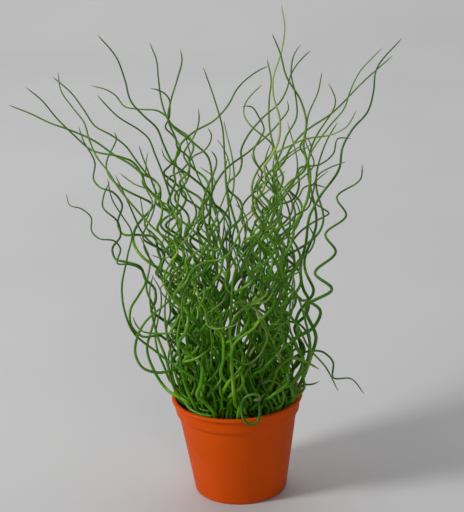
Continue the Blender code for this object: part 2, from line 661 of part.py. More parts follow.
def tube(line, material):
    """A closed tapered tube whose rings are carried along the line without twisting."""
    radii = stem_radii(line) * STEM_GIRTH
    heading = np.gradient(line, axis=0)
    heading /= np.linalg.norm(heading, axis=1)[:, None]
    side = np.cross(heading[0], (0.0, 1.0, 0.0))
    angles = np.arange(STEM_SIDES) * math.tau / STEM_SIDES
    rings = []
    for centre, ahead, radius in zip(line, heading, radii):
        side = side - ahead * (side @ ahead)
        side = side / np.linalg.norm(side)
        over = np.cross(ahead, side)
        rings.append(centre + radius * (np.outer(np.cos(angles), side) + np.outer(np.sin(angles), over)))
    count = STEM_SIDES
    last = (len(line) - 1) * count
    faces = [(ring + turn, ring + (turn + 1) % count, ring + count + (turn + 1) % count, ring + count + turn)
             for ring in range(0, last, count) for turn in range(count)]
    faces += [tuple(range(count))[::-1], tuple(range(last, last + count))]
    mesh = bpy.data.meshes.new("stem")
    mesh.from_pydata((np.concatenate(rings) * MM).tolist(), [], faces)
    return placed(mesh, material)


def make_tufts(green, places):
    """Each crown with the stems that grow from it, joined in one solid.

    The manifold solver joins them: the exact one leaves open edges where stems meet in a crown.
    """
    lines, crowns = stem_lines(places)
    for crown, (across, depth, _) in enumerate(places):
        knob = [
            (0.0, SOIL_TOP - CROWN_BELOW),
            (CROWN_RADIUS, SOIL_TOP - CROWN_BELOW),
            (CROWN_RADIUS, SOIL_TOP),
            (CROWN_TOP_RADIUS, SOIL_TOP + CROWN_ABOVE),
            (0.0, SOIL_TOP + CROWN_ABOVE),
        ]
        tuft = turned(f"tuft_{crown + 1:02d}", knob, CROWN_SIDES, green)
        tuft.location = (across * MM, depth * MM, 0.0)
        stems = [tube(line, green) for line, at in zip(lines, crowns) if at == crown]
        combine(tuft, stems, "UNION", "MANIFOLD")


def main():
    clear_scene()
    plastic = painted("orange_plastic", (0.52, 0.09, 0.012), 0.38)
    compost = painted("compost", (0.035, 0.022, 0.014), 0.95)
    green = painted("rush_green", (0.05, 0.145, 0.012), 0.45)
    places = crown_places()
    make_pot(plastic)
    make_soil(compost, places)
    make_tufts(green, places)


main()
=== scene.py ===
"""A corkscrew rush (Juncus effusus 'Spiralis') in its plastic nursery pot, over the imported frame.

Lengths are in millimetres and angles in radians. They become metres where a mesh is made.
+Z is up, the origin is at the middle of the pot's base and the front looks along -Y.

The stems of the frame's tufts are worked out here as they are in the part's source, with the same
constants and the same random draws, so each dressed stem lies on its solid. The dressed ones are
round and follow their waves in full. Finer stems grow between them, and all are bent clear.
"""

import json
import math

import bpy
import numpy as np
from mathutils import Matrix, Vector

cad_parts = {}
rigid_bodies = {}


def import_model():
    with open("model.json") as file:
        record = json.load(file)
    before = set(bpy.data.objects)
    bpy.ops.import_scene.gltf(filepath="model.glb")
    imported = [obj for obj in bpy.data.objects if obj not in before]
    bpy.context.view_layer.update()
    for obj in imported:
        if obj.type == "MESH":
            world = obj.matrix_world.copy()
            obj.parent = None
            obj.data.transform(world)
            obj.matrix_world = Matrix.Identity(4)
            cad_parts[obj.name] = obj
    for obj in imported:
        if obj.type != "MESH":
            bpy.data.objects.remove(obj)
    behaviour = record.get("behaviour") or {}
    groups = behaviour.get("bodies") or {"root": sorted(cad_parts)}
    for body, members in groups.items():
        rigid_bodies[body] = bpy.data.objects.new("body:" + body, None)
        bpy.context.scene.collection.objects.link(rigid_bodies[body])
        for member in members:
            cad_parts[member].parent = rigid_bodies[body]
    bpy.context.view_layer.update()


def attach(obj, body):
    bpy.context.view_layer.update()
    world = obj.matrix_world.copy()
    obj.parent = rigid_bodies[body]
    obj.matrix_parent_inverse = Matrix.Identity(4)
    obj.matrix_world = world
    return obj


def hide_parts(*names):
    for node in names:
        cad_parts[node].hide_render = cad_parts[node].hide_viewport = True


for thing in list(bpy.data.objects):
    bpy.data.objects.remove(thing, do_unlink=True)
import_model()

# A millimetre in metres, the angle in degrees past which an edge stays sharp, and the small number
# that keeps a division from failing
MM = 0.001
SHARP_ANGLE = 50.0
TINY = 1e-9

# Pot: radii of its outside, heights above its base. Its hub is the flat middle of its turned base.
POT_HEIGHT = 93.0
POT_WALL = 1.3
POT_SIDES = 144
POT_HUB = 2.0
LIP_RADIUS = 60.0
LIP_BOTTOM = 89.6
COLLAR_TOP_RADIUS = 57.8
COLLAR_RADIUS = 56.8
COLLAR_BOTTOM = 79.2
STEP_BOTTOM = 76.4
BODY_TOP_RADIUS = 54.1
BODY_FOOT_RADIUS = 43.2
FOOT_HEIGHT = 3.0
FOOT_RADIUS = 40.6
FOOT_SPREAD = 1.6
STEP_LEDGE = (1.6, 0.7)
RING_INNER_RADIUS = 22.0
RING_OUTER_RADIUS = 37.0
RING_SLOPE = 1.5
RING_LIFT = 1.8
DRAIN_COUNT = 6
DRAIN_RADIUS = 4.0
DRAIN_CIRCLE = 29.5
DRAIN_SIDES = 32
DRILL_PAST = 5.0
ROUNDING_STEPS = 6

# Compost: its height and waves, the gap beside it, and how finely its top is divided
SOIL_TOP = 80.0
SOIL_DIP = 1.6
SOIL_WAVES = 5
SOIL_GAP = 0.35
SOIL_RINGS = 60
SOIL_SIDES = 120
SOIL_HUB = 1.0
SOIL_INNER_SHARE = 0.001
SOIL_TINT = 0.05

# Crowns: the knobs of rhizome that the tufts grow from. A ring is how many crowns it has, its
# radius, and the stems that each carries. A lobe is a count, a turn and a size.
CROWN_RINGS = ((1, 0.0, 4), (6, 21.5, 5), (12, 42.0, 6))
CROWN_RADIUS = 7.0
CROWN_SIDES = 16
CROWN_ABOVE = 2.5
CROWN_BELOW = 12.0
CROWN_WAIST = 4.0
CROWN_FOOT_SHARE = 0.6
CROWN_HUB = 0.3
CROWN_DOME_RINGS = 6
CROWN_LOBES = ((3, 1, 0.09), (7, 2, 0.05))
ROOT_CIRCLE = 4.4
ROOT_DEPTH = 9.0
FOOT_RISE = 3.0

# Stems of the frame's tufts. Their outlines are drawn as they are seen from EYE.
STEM_BASE_RADIUS = 1.7
STEM_TIP_RADIUS = 0.5
STEM_TAPER = 0.75
STEM_GIRTH = 1.3
LONGEST_RUN = 36.0
WIDEST_TURN = 1.45
FINE_STEP = 2.5
EYE = np.array((0.0, -1464.0, 739.0))
PITCH = 46.0
DEEPEST_WAVE = 9.0
HIDDEN_WINDING = (5.0, 11.0)
HIDDEN_STEP = 11.0
HIDDEN_PULL = 0.75
HIDDEN_LEAN = 0.3
SOIL_SHOULDER = 30.0

# Stems that stand out of the bush, from root to tip. Each has the place of its root, the depth
# of its tip behind the pot's middle, and the points (across, up) of its outline in the plane
# through the pot's middle. A third number is that point's own depth.
DRAWN_STEMS = {
    "far_left": ((-36, 8), 30, (
        (-74, 306), (-85, 316), (-97, 324), (-114, 338), (-137, 350), (-151, 356), (-167, 365),
        (-186, 374))),
    "far_left_low": ((-34, -16), -35, (
        (-74, 305), (-83, 319), (-92, 323), (-118, 331), (-130, 343), (-145, 360), (-158, 378),
        (-170, 389))),
    "left_waved": ((-28, -24), -84, (
        (-61, 249), (-74, 263), (-83, 275), (-96, 294), (-104, 309), (-114, 325), (-119, 341),
        (-122, 355), (-131, 369), (-140, 385), (-141, 401))),
    "left_elbow": ((-30, 20), 70, (
        (-65, 234), (-67, 245), (-79, 248), (-96, 251), (-99, 259), (-94, 279), (-101, 290),
        (-113, 296), (-117, 302), (-115, 318), (-124, 340), (-127, 352))),
    "left_tall": ((-20, 30), 98, (
        (-68, 303), (-79, 319), (-87, 332), (-98, 342), (-113, 352), (-121, 366), (-131, 382),
        (-146, 397))),
    "left_upper": ((-8, -12), -20, (
        (-15, 283), (-33, 303), (-46, 314), (-54, 332), (-59, 347), (-70, 359), (-80, 372),
        (-84, 391), (-90, 411), (-105, 432))),
    "left_level": ((-14, 38), 112, (
        (-50, 357), (-56, 362), (-74, 365), (-86, 368), (-93, 378), (-98, 382), (-114, 388))),
    "left_inner": ((-18, -38), -108, (
        (-51, 285), (-56, 305), (-62, 324), (-68, 340), (-73, 345), (-92, 359), (-109, 379))),
    "left_s": ((-4, 22), 62, (
        (-17, 252), (-16, 268), (-13, 298), (-16, 320), (-27, 332), (-47, 351), (-53, 369),
        (-55, 390), (-56, 408), (-61, 423))),
    "middle_left": ((-12, -20), -80, (
        (-43, 336), (-49, 355), (-46, 370), (-39, 390), (-34, 408), (-35, 416))),
    "middle": ((4, -22), -30, (
        (8, 250), (4, 267), (0, 288), (-1, 317), (-2, 346), (-7, 368), (-16, 399))),
    "crossing": ((-16, 12), 52, (
        (-45, 316), (-40, 331), (-28, 342), (-9, 352), (3, 364), (13, 380), (33, 395), (40, 398))),
    "left_zigzag": ((-42, -4), -22, (
        (-66, 153), (-83, 153), (-92, 163), (-92, 180), (-84, 193), (-77, 207), (-80, 217),
        (-91, 223), (-101, 224), (-98, 239), (-102, 245), (-117, 249), (-122, 255), (-122, 269),
        (-130, 277), (-140, 281), (-142, 291))),
    "left_bow": ((8, -42), -30, (
        (3, 88, -48), (-20, 98, -52), (-42, 113, -55), (-71, 137), (-91, 157), (-98, 180),
        (-99, 198), (-92, 230), (-87, 254), (-94, 268), (-102, 284), (-105, 304))),
    "left_snake": ((-38, 14), 34, (
        (-77, 208), (-81, 220), (-92, 225), (-103, 229), (-105, 238), (-97, 250), (-98, 262),
        (-111, 279), (-109, 289), (-103, 301))),
    "left_loop": ((-40, -14), -64, (
        (-56, 119), (-74, 117), (-86, 122), (-92, 135), (-90, 151), (-82, 166), (-60, 185),
        (-44, 202), (-38, 224), (-44, 246))),
    "left_base": ((-31, -28), 4, (
        (-44, 88, -38), (-63, 101), (-73, 119), (-78, 143), (-74, 156), (-69, 175), (-76, 198),
        (-72, 226), (-80, 250))),
    "tallest": ((14, 14), 15, (
        (38, 315), (46, 330), (48, 350), (43, 373), (43, 383), (52, 412), (55, 429), (53, 450))),
    "right_waved": ((26, -20), -60, (
        (57, 248), (70, 276), (73, 300), (68, 325), (71, 347), (67, 365), (55, 388), (50, 410),
        (44, 426))),
    "right_straight": ((10, 40), 92, (
        (45, 315), (40, 338), (40, 370), (42, 384), (39, 404))),
    "right_front": ((18, -38), -112, (
        (45, 314), (52, 334), (62, 351), (62, 371), (59, 392), (64, 410), (68, 415))),
    "right_back": ((4, 34), 70, (
        (13, 322), (18, 334), (32, 351), (50, 367), (56, 379), (58, 387), (69, 403), (77, 410))),
    "hook": ((0, -40), -96, (
        (26, 312), (24, 322), (31, 335), (34, 341), (30, 353), (23, 363), (16, 363))),
    "slant": ((-2, 6), 20, (
        (-14, 287), (-2, 306), (21, 323), (48, 348), (56, 360), (55, 367))),
    "right_short": ((22, 34), 125, (
        (69, 332), (73, 353), (82, 373), (86, 391))),
    "far_right_s": ((30, -8), -30, (
        (53, 292), (66, 301), (73, 317), (91, 342), (104, 357), (110, 373), (117, 387),
        (138, 409))),
    "far_right": ((40, 6), 24, (
        (64, 191), (62, 215), (67, 234), (72, 262), (81, 278), (99, 304), (102, 322), (111, 338),
        (125, 354), (130, 371), (132, 388), (155, 417))),
    "far_right_line": ((32, 24), 84, (
        (54, 320), (66, 335), (94, 354), (120, 379), (147, 402))),
    "right_bend": ((30, -30), -112, (
        (58, 325), (69, 330), (97, 335), (106, 340), (115, 355))),
    "right_steps": ((28, 30), 88, (
        (40, 271), (59, 278), (63, 289), (63, 304), (83, 308), (94, 317), (98, 330), (110, 330))),
    "right_shelf": ((36, -18), -86, (
        (58, 261), (70, 268), (75, 282), (80, 298), (90, 304), (105, 309))),
    "right_zigzag": ((42, -6), -12, (
        (60, 96), (70, 124), (75, 141), (67, 174), (90, 190), (75, 206), (94, 226), (85, 242),
        (104, 260), (96, 276), (118, 294), (119, 306))),
    "right_trailing": ((40, 16), -18, (
        (52, 124), (65, 131), (80, 130), (89, 120), (89, 104), (105, 102), (117, 86))),
    "right_falling": ((36, -24), -58, (
        (36, 160), (45, 172), (56, 157), (66, 135), (82, 114), (93, 90))),
    "front_arch": ((28, -38), -74, (
        (29, 101), (38, 118), (51, 125), (63, 121), (76, 113))),
    "front_curl": ((8, -38), -60, (
        (11, 121, -45), (13, 113, -50), (16, 101, -54), (19, 90, -57), (21, 78, -60),
        (21, 70, -63), (18, 63, -65), (12, 61, -66), (7, 64, -66), (4, 72, -65), (4, 80, -64),
        (6, 86, -64), (11, 90, -64), (16, 91, -65), (21, 89, -66), (21, 86, -67), (15, 85, -67))),
    "front_hook": ((-14, -42), -100, (
        (-30, 150), (-38, 172), (-30, 184), (-24, 172), (-20, 159), (-4, 159), (6, 173),
        (18, 180), (29, 181))),
    "front_swoop": ((38, -26), -70, (
        (60, 184), (51, 183), (39, 184), (26, 187), (18, 192), (13, 201), (11, 212), (14, 222),
        (20, 233), (24, 246))),
    "front_loop": ((-4, -44), -84, (
        (-4, 148), (-5, 139), (-5, 130), (1, 124), (9, 121), (17, 124), (22, 129), (26, 136),
        (30, 146), (27, 157), (22, 168))),
    "front_crook": ((30, -36), -62, ((43, 75), (45, 84), (43, 93), (38, 100), (31, 103), (23, 101))),
    "front_bow": ((12, -38), -66, ((13, 82), (9, 92), (6, 102), (8, 109), (13, 115), (20, 119))),
    "right_knot": ((44, -14), -46, (
        (65, 115), (68, 128), (68, 144), (65, 160), (62, 174), (57, 189), (50, 199), (45, 209),
        (38, 219), (28, 217), (20, 211), (15, 201))),
    "right_bow": ((42, -18), -52, (
        (51, 84), (54, 92), (52, 101), (47, 112), (40, 121), (34, 132), (32, 144))),
    "right_tip": ((20, -6), -20, ((57, 317), (65, 322), (70, 323), (75, 327))),
    "right_crook": ((24, 12), 20, ((63, 280), (66, 286), (72, 289), (77, 289), (87, 286))),
    "right_curl": ((34, 0), 0, (
        (60, 221), (65, 224), (70, 228), (73, 233), (75, 239), (73, 246), (70, 252))),
    "right_stub": ((44, -12), -14, ((58, 95), (62, 98), (67, 98), (72, 99), (76, 101))),
    "left_fan": ((-42, -8), -14, (
        (-50, 87), (-56, 104), (-59, 119), (-63, 134), (-68, 149), (-72, 167), (-74, 182),
        (-74, 198), (-70, 212))),
    "left_upright": ((-36, -20), -46, (
        (-46, 84), (-51, 103), (-55, 121), (-57, 138), (-60, 153), (-61, 170), (-60, 187),
        (-56, 202), (-48, 215))),
    "left_outer": ((-44, 2), 26, (
        (-60, 106), (-66, 123), (-71, 139), (-72, 154), (-69, 168), (-65, 183), (-65, 197),
        (-71, 211))),
    "left_mid": ((-32, -30), -66, (
        (-39, 81), (-47, 100), (-50, 116), (-52, 133), (-53, 148), (-50, 165), (-45, 182),
        (-46, 198), (-53, 214))),
    "left_tip": ((-20, 4), 10, ((-28, 337), (-24, 345), (-22, 353), (-22, 363))),
    "left_short": ((-30, 12), 20, ((-71, 308), (-70, 318), (-68, 326))),
    "left_shorter": ((-26, 20), 40, ((-49, 315), (-54, 321), (-56, 329))),
    "left_low_tip": ((-38, 4), 0, ((-71, 292), (-81, 297), (-94, 308))),
    "left_bracket": ((-40, -20), -30, (
        (-49, 155), (-63, 155), (-76, 156), (-83, 158), (-88, 164), (-91, 173))),
    "left_crook": ((-24, 28), 60, ((-47, 365), (-47, 372), (-50, 377), (-56, 381), (-63, 383))),
    "middle_tip": ((-14, -12), -30, ((-29, 320), (-19, 325), (-14, 331), (-12, 339), (-15, 346))),
}

# Stems that fill the bush, by rule: a spine that leans out and arches, wound into a corkscrew.
# A habit is the ranges of a stem's height, its reach per height, its winding and its pitch.
SEED = 7
FILLING = ((105.0, 245.0), (0.12, 0.36), (6.0, 15.0), (58.0, 105.0))
RULED_SPREAD = 0.6
RULED_SWAY = 18.0
RULED_SWAY_TURN = 5.0
RULED_LEAN = 0.6
RULED_ARCH = 2.2
RULED_GROWN_BY = 0.45
RULED_TIP_LOSS = 0.3
RULED_STEP = 7.0
RULED_UNEVENNESS = 0.5
WANDER_TURNS = (0.6, 1.7)
WANDER_HURRY = 2.4
HEIGHT_FAVOUR = 0.15
REACH_FAVOUR = 0.8

# Stems that only the dressed plant has. These show at the front of the bush and end inside it,
# and each is written as the drawn stems are.
FRONT_STEMS = {
    "brow": ((2, -42), -104, (
        (-3, 145), (-4, 152), (-3, 158), (2, 169), (9, 175), (15, 179), (22, 180), (29, 181),
        (34, 186), (37, 192))),
    "band": ((-18, -36), -104, (
        (-32, 217), (-22, 222), (-12, 223), (-3, 227), (3, 236), (8, 246), (13, 255), (21, 264),
        (26, 273))),
    "sag": ((-10, -44), -104, (
        (-32, 197), (-30, 184), (-25, 175), (-25, 167), (-23, 160), (-16, 157), (-8, 158),
        (-1, 159), (5, 164))),
    "sweep": ((-20, -42), -88, (
        (-22, 91), (-22, 107), (-25, 119), (-32, 141), (-38, 149), (-43, 157), (-46, 182),
        (-43, 194), (-38, 204), (-30, 211), (-23, 216))),
    "lean": ((36, -26), -84, (
        (51, 85), (49, 97), (46, 109), (41, 121), (35, 139), (32, 149), (25, 168), (20, 175),
        (14, 180), (6, 182), (-1, 180))),
    "saddle": ((-22, -40), -96, (
        (-26, 267), (-32, 254), (-39, 244), (-45, 238), (-51, 232), (-58, 227), (-64, 228),
        (-71, 231))),
    "ring": ((-14, -34), -98, (
        (-35, 228), (-27, 234), (-20, 238), (-14, 233), (-9, 234), (-10, 242), (-15, 247),
        (-22, 250), (-27, 257), (-29, 265))),
    "crest": ((22, -38), -88, (
        (25, 139), (28, 147), (31, 154), (35, 159), (39, 159), (42, 153), (45, 146), (44, 138),
        (41, 132), (38, 124))),
    "curve": ((34, -22), -100, (
        (39, 175), (42, 185), (46, 196), (51, 204), (58, 212), (62, 221), (60, 230), (56, 238),
        (50, 246), (46, 253), (43, 262))),
    "brace": ((40, -16), -70, (
        (45, 84, -18), (50, 95, -20), (57, 106), (63, 117), (67, 129), (68, 140), (65, 151),
        (59, 158), (51, 161), (43, 164), (36, 169), (30, 176), (25, 184))),
    "shelf": ((30, -20), -84, (
        (27, 191), (26, 198), (29, 204), (36, 203), (44, 203), (52, 205), (61, 209), (64, 217))),
    "rise": ((28, -32), -92, (
        (48, 192), (44, 205), (40, 217), (36, 227), (34, 237), (31, 247), (29, 255), (29, 264))),
    "rim": ((-18, -42), -14, (
        (-24, 71, -48), (-35, 74, -42), (-42, 79, -36), (-47, 85, -30), (-52, 91, -24), (-56, 98, -20),
        (-59, 106), (-61, 117), (-61, 129), (-59, 141), (-55, 152))),
    "beside_rim": ((-14, -40), -10, (
        (-22, 76, -44), (-32, 79, -38), (-41, 86, -32), (-49, 93, -24), (-55, 102, -18), (-58, 112),
        (-59, 123), (-57, 136), (-53, 148), (-49, 160))),
    "right_rim": ((20, -42), -44, (
        (30, 80, -40), (37, 87, -36), (45, 92, -30), (50, 99, -28), (51, 109), (48, 119), (43, 128))),
    "fan": ((-22, -38), -60, (
        (-28, 85, -42), (-32, 96, -44), (-34, 108), (-37, 120), (-41, 132), (-44, 146), (-44, 157))),
    "riser": ((-22, -42), -72, (
        (-22, 74, -44), (-21, 87, -50), (-22, 97, -54), (-23, 107), (-25, 117), (-27, 127),
        (-30, 137), (-34, 146), (-38, 155))),
    "upright": ((-14, -46), -78, (
        (-14, 79, -50), (-14, 91, -55), (-16, 101, -60), (-19, 111), (-22, 121), (-22, 133),
        (-21, 145), (-21, 156), (-19, 168))),
    "right_arch": ((40, -28), -64, (
        (43, 74, -32), (45, 82, -36), (43, 90, -42), (41, 97, -48), (35, 102, -54), (29, 104, -60),
        (22, 104))),
    "right_fan": ((46, -18), -50, (
        (50, 87, -24), (52, 95, -28), (49, 102, -34), (46, 109), (41, 115), (37, 122))),
    "post": ((30, -40), -76, (
        (31, 72, -42), (28, 88, -50), (25, 97, -54), (23, 107), (22, 117), (23, 126), (26, 134),
        (28, 143))),
    "low_cross": ((36, -34), -72, (
        (36, 78, -40), (32, 86, -46), (25, 92, -52), (19, 98), (15, 106), (13, 115), (12, 125))),
    "low_arc": ((6, -48), -60, (
        (8, 81, -54), (4, 90, -58), (1, 97, -62), (-4, 104), (-9, 109), (-15, 113), (-21, 117))),
    "short_left": ((-26, -40), -62, (
        (-26, 76, -42), (-29, 85, -46), (-31, 93, -50), (-33, 104), (-34, 114), (-33, 125))),
}

# The rest fill the bush by rule, with a habit of their own after how many there are
MORE_SEED = 11
HABITS = {
    "arching": (8, (150.0, 225.0), (0.02, 0.14), (9.0, 20.0), (75.0, 130.0)),
    "straight": (14, (60.0, 150.0), (0.04, 0.20), (2.0, 6.0), (80.0, 140.0)),
}
ROOTED_RADIUS = 50.5
ROOT_TRIES = 24

# Bending clear at the frame's coarse points, as in the part's source
CLEAR = 0.5
LIP_GIRTH = 2.7
LIP_POINTS = 49
CLEAR_ROUNDS = 160
SETTLE_ROUNDS = 40
PAIR_REACH = 7.0
MOST_PUSH = 2.0
TOUCHING = 0.05
SPREAD = 0.15
PAIR_ROUNDS = 8

# Bending clear at the fine rings
RINGS = 131
STEM_SIDES = 8
FINE_CLEAR = 0.15
FINE_ROUNDS = 72
FINE_REACH = 3.5
FOOT_EASE = 12.0

# What makes one stem differ from the next: how stout it is, how pale, and how its tip ends. The
# named stems have their own values. A blunt stem ends in a round tip of this radius. FINER is for
# the stems that only the dressed plant has and that grow by rule.
STOUTNESS = (0.85, 1.15)
FINER = 0.9
STOUT_STEMS = {"front_arch": 1.55, "front_swoop": 1.2, "curve": 1.35, "band": 1.25}
BLUNT_STEMS = {"front_curl": 1.3, "front_bow": 1.1}
TINT = (0.15, 0.7)
PALE_STEMS = {"tallest": 1.3, "left_waved": 0.8, "saddle": 0.6, "brow": 0.7}
POINT_LENGTH = 7.0
POINT_RADIUS = 0.1
DRY_TIP = (0.5, 9.0)
DRY_START = 1.3
LOOKS_SEED = 5

# Dry sheaths: a sleeve's length, how far it starts down in the crown, its thickness and how that
# grows less, its hem and its slanting mouth
SHEATH_LENGTH = (4.0, 10.0)
SHEATH_SUNK = 1.0
SHEATH_RINGS = 9
SHEATH_THICKNESS = 0.3
SHEATH_LOOSE = 1.6
SHEATH_HEM = 0.01
SHEATH_MOUTH = 3.0

# The stems' fine ribs: the grain's turns round a stem, and millimetres along it for one turn.
# Dead skin on sheaths and crowns has its grain by place instead.
GRAIN_ROUND = 2.0
GRAIN_LENGTH = 12.0
GRAIN_APART = 7.3
DEAD_GRAIN = (1.2, 1.2, 0.2)
DEAD_TINT = 0.5

# Roughness of the compost
SOIL_RIPPLES = 40
SOIL_RIPPLE_LENGTH = (3.0, 14.0)
SOIL_ROUGHNESS = 0.55
SOIL_EDGE = 8.0

# What lies on the compost. A kind is how many there are, and the ranges of their length, of their
# width per length and of their tint. All have one profile, as shares of length and of width.
LYING = {
    "crumbs": (900, (0.5, 1.9), (0.6, 1.0), (0.0, 0.35)),
    "fibres": (160, (2.5, 7.0), (0.09, 0.2), (0.25, 0.6)),
}
LUMP_PROFILE = ((0.0, 0.3), (0.2, 0.85), (0.55, 1.0), (0.85, 0.7), (1.0, 0.25))
LUMP_SIDES = 6
LUMP_TILT = 0.35
LUMP_ROUGHNESS = 0.07

# Camera: where the photograph was taken from, in degrees and in pixels of its frame
CAMERA_PLACE = (0.0, -1463.9, 738.7)
CAMERA_PITCH = 19.29
CAMERA_YAW = 0.045
CAMERA_ROLL = -2.62
FOCAL_PIXELS = 1737.0
FRAME_HEIGHT = 512.0
SENSOR_WIDTH = 36.0

# Studio paper
FLOOR_FRONT = -2800.0
FLOOR_HALF_WIDTH = 3600.0
WALL_DEPTH = 2700.0
WALL_HEIGHT = 2600.0
SWEEP_RADIUS = 900.0
SWEEP_RINGS = 24

# Lights: each has its place, the point that it is aimed at, its size and its power in watts
LIGHTS = {
    "key": ((-2600.0, -1000.0, 2100.0), (0.0, 0.0, 200.0), 700.0, 80.0),
    "fill": ((420.0, -1900.0, 1000.0), (0.0, 0.0, 200.0), 500.0, 6.0),
    "top": ((0.0, 1700.0, 2500.0), (0.0, 1700.0, 0.0), 2800.0, 50.0),
}
ROOM_STRENGTH = 0.14


def crown_places():
    """Centres of the crowns, in rings, and the number of stems that each carries."""
    places = []
    for count, radius, stems in CROWN_RINGS:
        for turn in range(count):
            angle = math.tau * (turn + 0.5) / count
            places.append((radius * math.cos(angle), radius * math.sin(angle), stems))
    return places


def round_axis(radius, angle, height=0.0):
    """Points round the upright axis: (r cos a, r sin a, z)."""
    around = np.broadcast_arrays(radius * np.cos(angle), radius * np.sin(angle), height)
    return np.stack(around, axis=-1)


def along(points):
    """Distance of each point along the line through them."""
    steps = np.linalg.norm(np.diff(points, axis=0), axis=1)
    return np.concatenate([[0.0], np.cumsum(steps)])


def smooth_through(points, places, knots=None):
    """Cubic curve through the points, read at these distances along them or along other knots.

    Its slope at a point is the mean of the two runs beside it, each weighted by the other's length.
    """
    knots = along(points) if knots is None else knots
    run = np.diff(knots)[:, None]
    slope = np.diff(points, axis=0) / run
    middle = (slope[:-1] * run[1:] + slope[1:] * run[:-1]) / (run[1:] + run[:-1])
    tangent = np.concatenate([slope[:1], middle, slope[-1:]])
    left = np.clip(np.searchsorted(knots, places, "right") - 1, 0, len(points) - 2)
    part = ((places - knots[left]) / run[left, 0])[:, None]
    bend = part * part * (3.0 - 2.0 * part)
    rise = part * (1.0 - part) ** 2
    fall = part * part * (part - 1.0)
    return (points[left] * (1.0 - bend) + points[left + 1] * bend
            + run[left] * (rise * tangent[left] + fall * tangent[left + 1]))


def finely(points):
    """The smooth curve through the points, in steps of about FINE_STEP."""
    length = along(points)[-1]
    return smooth_through(points, np.linspace(0.0, length, int(length / FINE_STEP) + 2))


def root_points(place):
    """The straight stretch at a stem's foot: sunk in its crown, then out of the top of it."""
    heights = (SOIL_TOP - ROOT_DEPTH + CROWN_ABOVE, SOIL_TOP + CROWN_ABOVE + FOOT_RISE)
    return np.array([(place[0], place[1], height) for height in heights])


def hidden_stretch(foot, first, second, rng):
    """Points from the foot of a stem to the first drawn one.

    They follow a cubic arc that leaves the foot upwards and a little outwards and arrives in line
    with the drawn part. The stem winds round it, most in the middle and not at all at the ends.
    """
    span = np.linalg.norm(first - foot)
    steps = max(int(span / HIDDEN_STEP), 1)
    part = (np.arange(1, steps) / steps)[:, None]
    rise = np.array((*foot[:2] / SOIL_SHOULDER * HIDDEN_LEAN, 1.0))
    start = HIDDEN_PULL * span * rise
    end = HIDDEN_PULL * span * (second - first) / np.linalg.norm(second - first)
    arc = (foot * (1 + 2 * part) * (1 - part) ** 2 + start * part * (1 - part) ** 2
           + first * part ** 2 * (3 - 2 * part) + end * part ** 2 * (part - 1))
    angle = rng.uniform(0.0, math.tau) + math.tau * part[:, 0] * span / PITCH
    winding = rng.uniform(*HIDDEN_WINDING) * np.sin(math.pi * part[:, 0]) ** 0.5
    arc[:, 0] += winding * np.cos(angle)
    arc[:, 1] += winding * np.sin(angle)
    return arc


def drawn_line(place, tip_depth, outline, rng):
    """Centre line of a drawn stem.

    Each point of the outline is moved along the line of sight to its depth, which runs evenly from
    the root's to the tip's. The depth also sways by the slope of the outline's own waves times
    pitch / (2 pi), which turns a flat wave into a corkscrew of the same outline.
    """
    flat = np.array([(point[0], 0.0, point[1]) for point in outline])
    foot = root_points(place)
    share = along(np.concatenate([foot[1:], flat]))[1:]
    share = share / share[-1]
    depth = place[1] + (tip_depth - place[1]) * share
    for index, point in enumerate(outline):
        if len(point) == 3:
            depth[index] = point[2]
    seen = flat + (flat - EYE) * (depth / -EYE[1])[:, None]
    hidden = hidden_stretch(foot[1], seen[0], seen[1], rng)
    line = finely(np.concatenate([foot, hidden, seen]))
    if any(len(point) == 3 for point in outline):
        return line
    width = int(PITCH / FINE_STEP)
    padded = np.concatenate([np.repeat(line[:1], width, 0), line, np.repeat(line[-1:], width, 0)])
    mean = np.ones(2 * width + 1) / (2 * width + 1)
    spine = np.stack([np.convolve(padded[:, k], mean, "valid") for k in range(3)], axis=1)
    heading = np.gradient(spine, axis=0)
    heading /= np.linalg.norm(heading, axis=1)[:, None]
    sideways = (line - spine)[:, 0] * heading[:, 2] - (line - spine)[:, 2] * heading[:, 0]
    sway = np.gradient(sideways) / FINE_STEP * PITCH / math.tau
    seen_part = np.clip((along(line) - along(np.concatenate([foot, hidden]))[-1]) / PITCH, 0.0, 1.0)
    sway = np.clip(sway, -DEEPEST_WAVE, DEEPEST_WAVE) * seen_part
    return line + (line - EYE) * (sway / -EYE[1])[:, None]


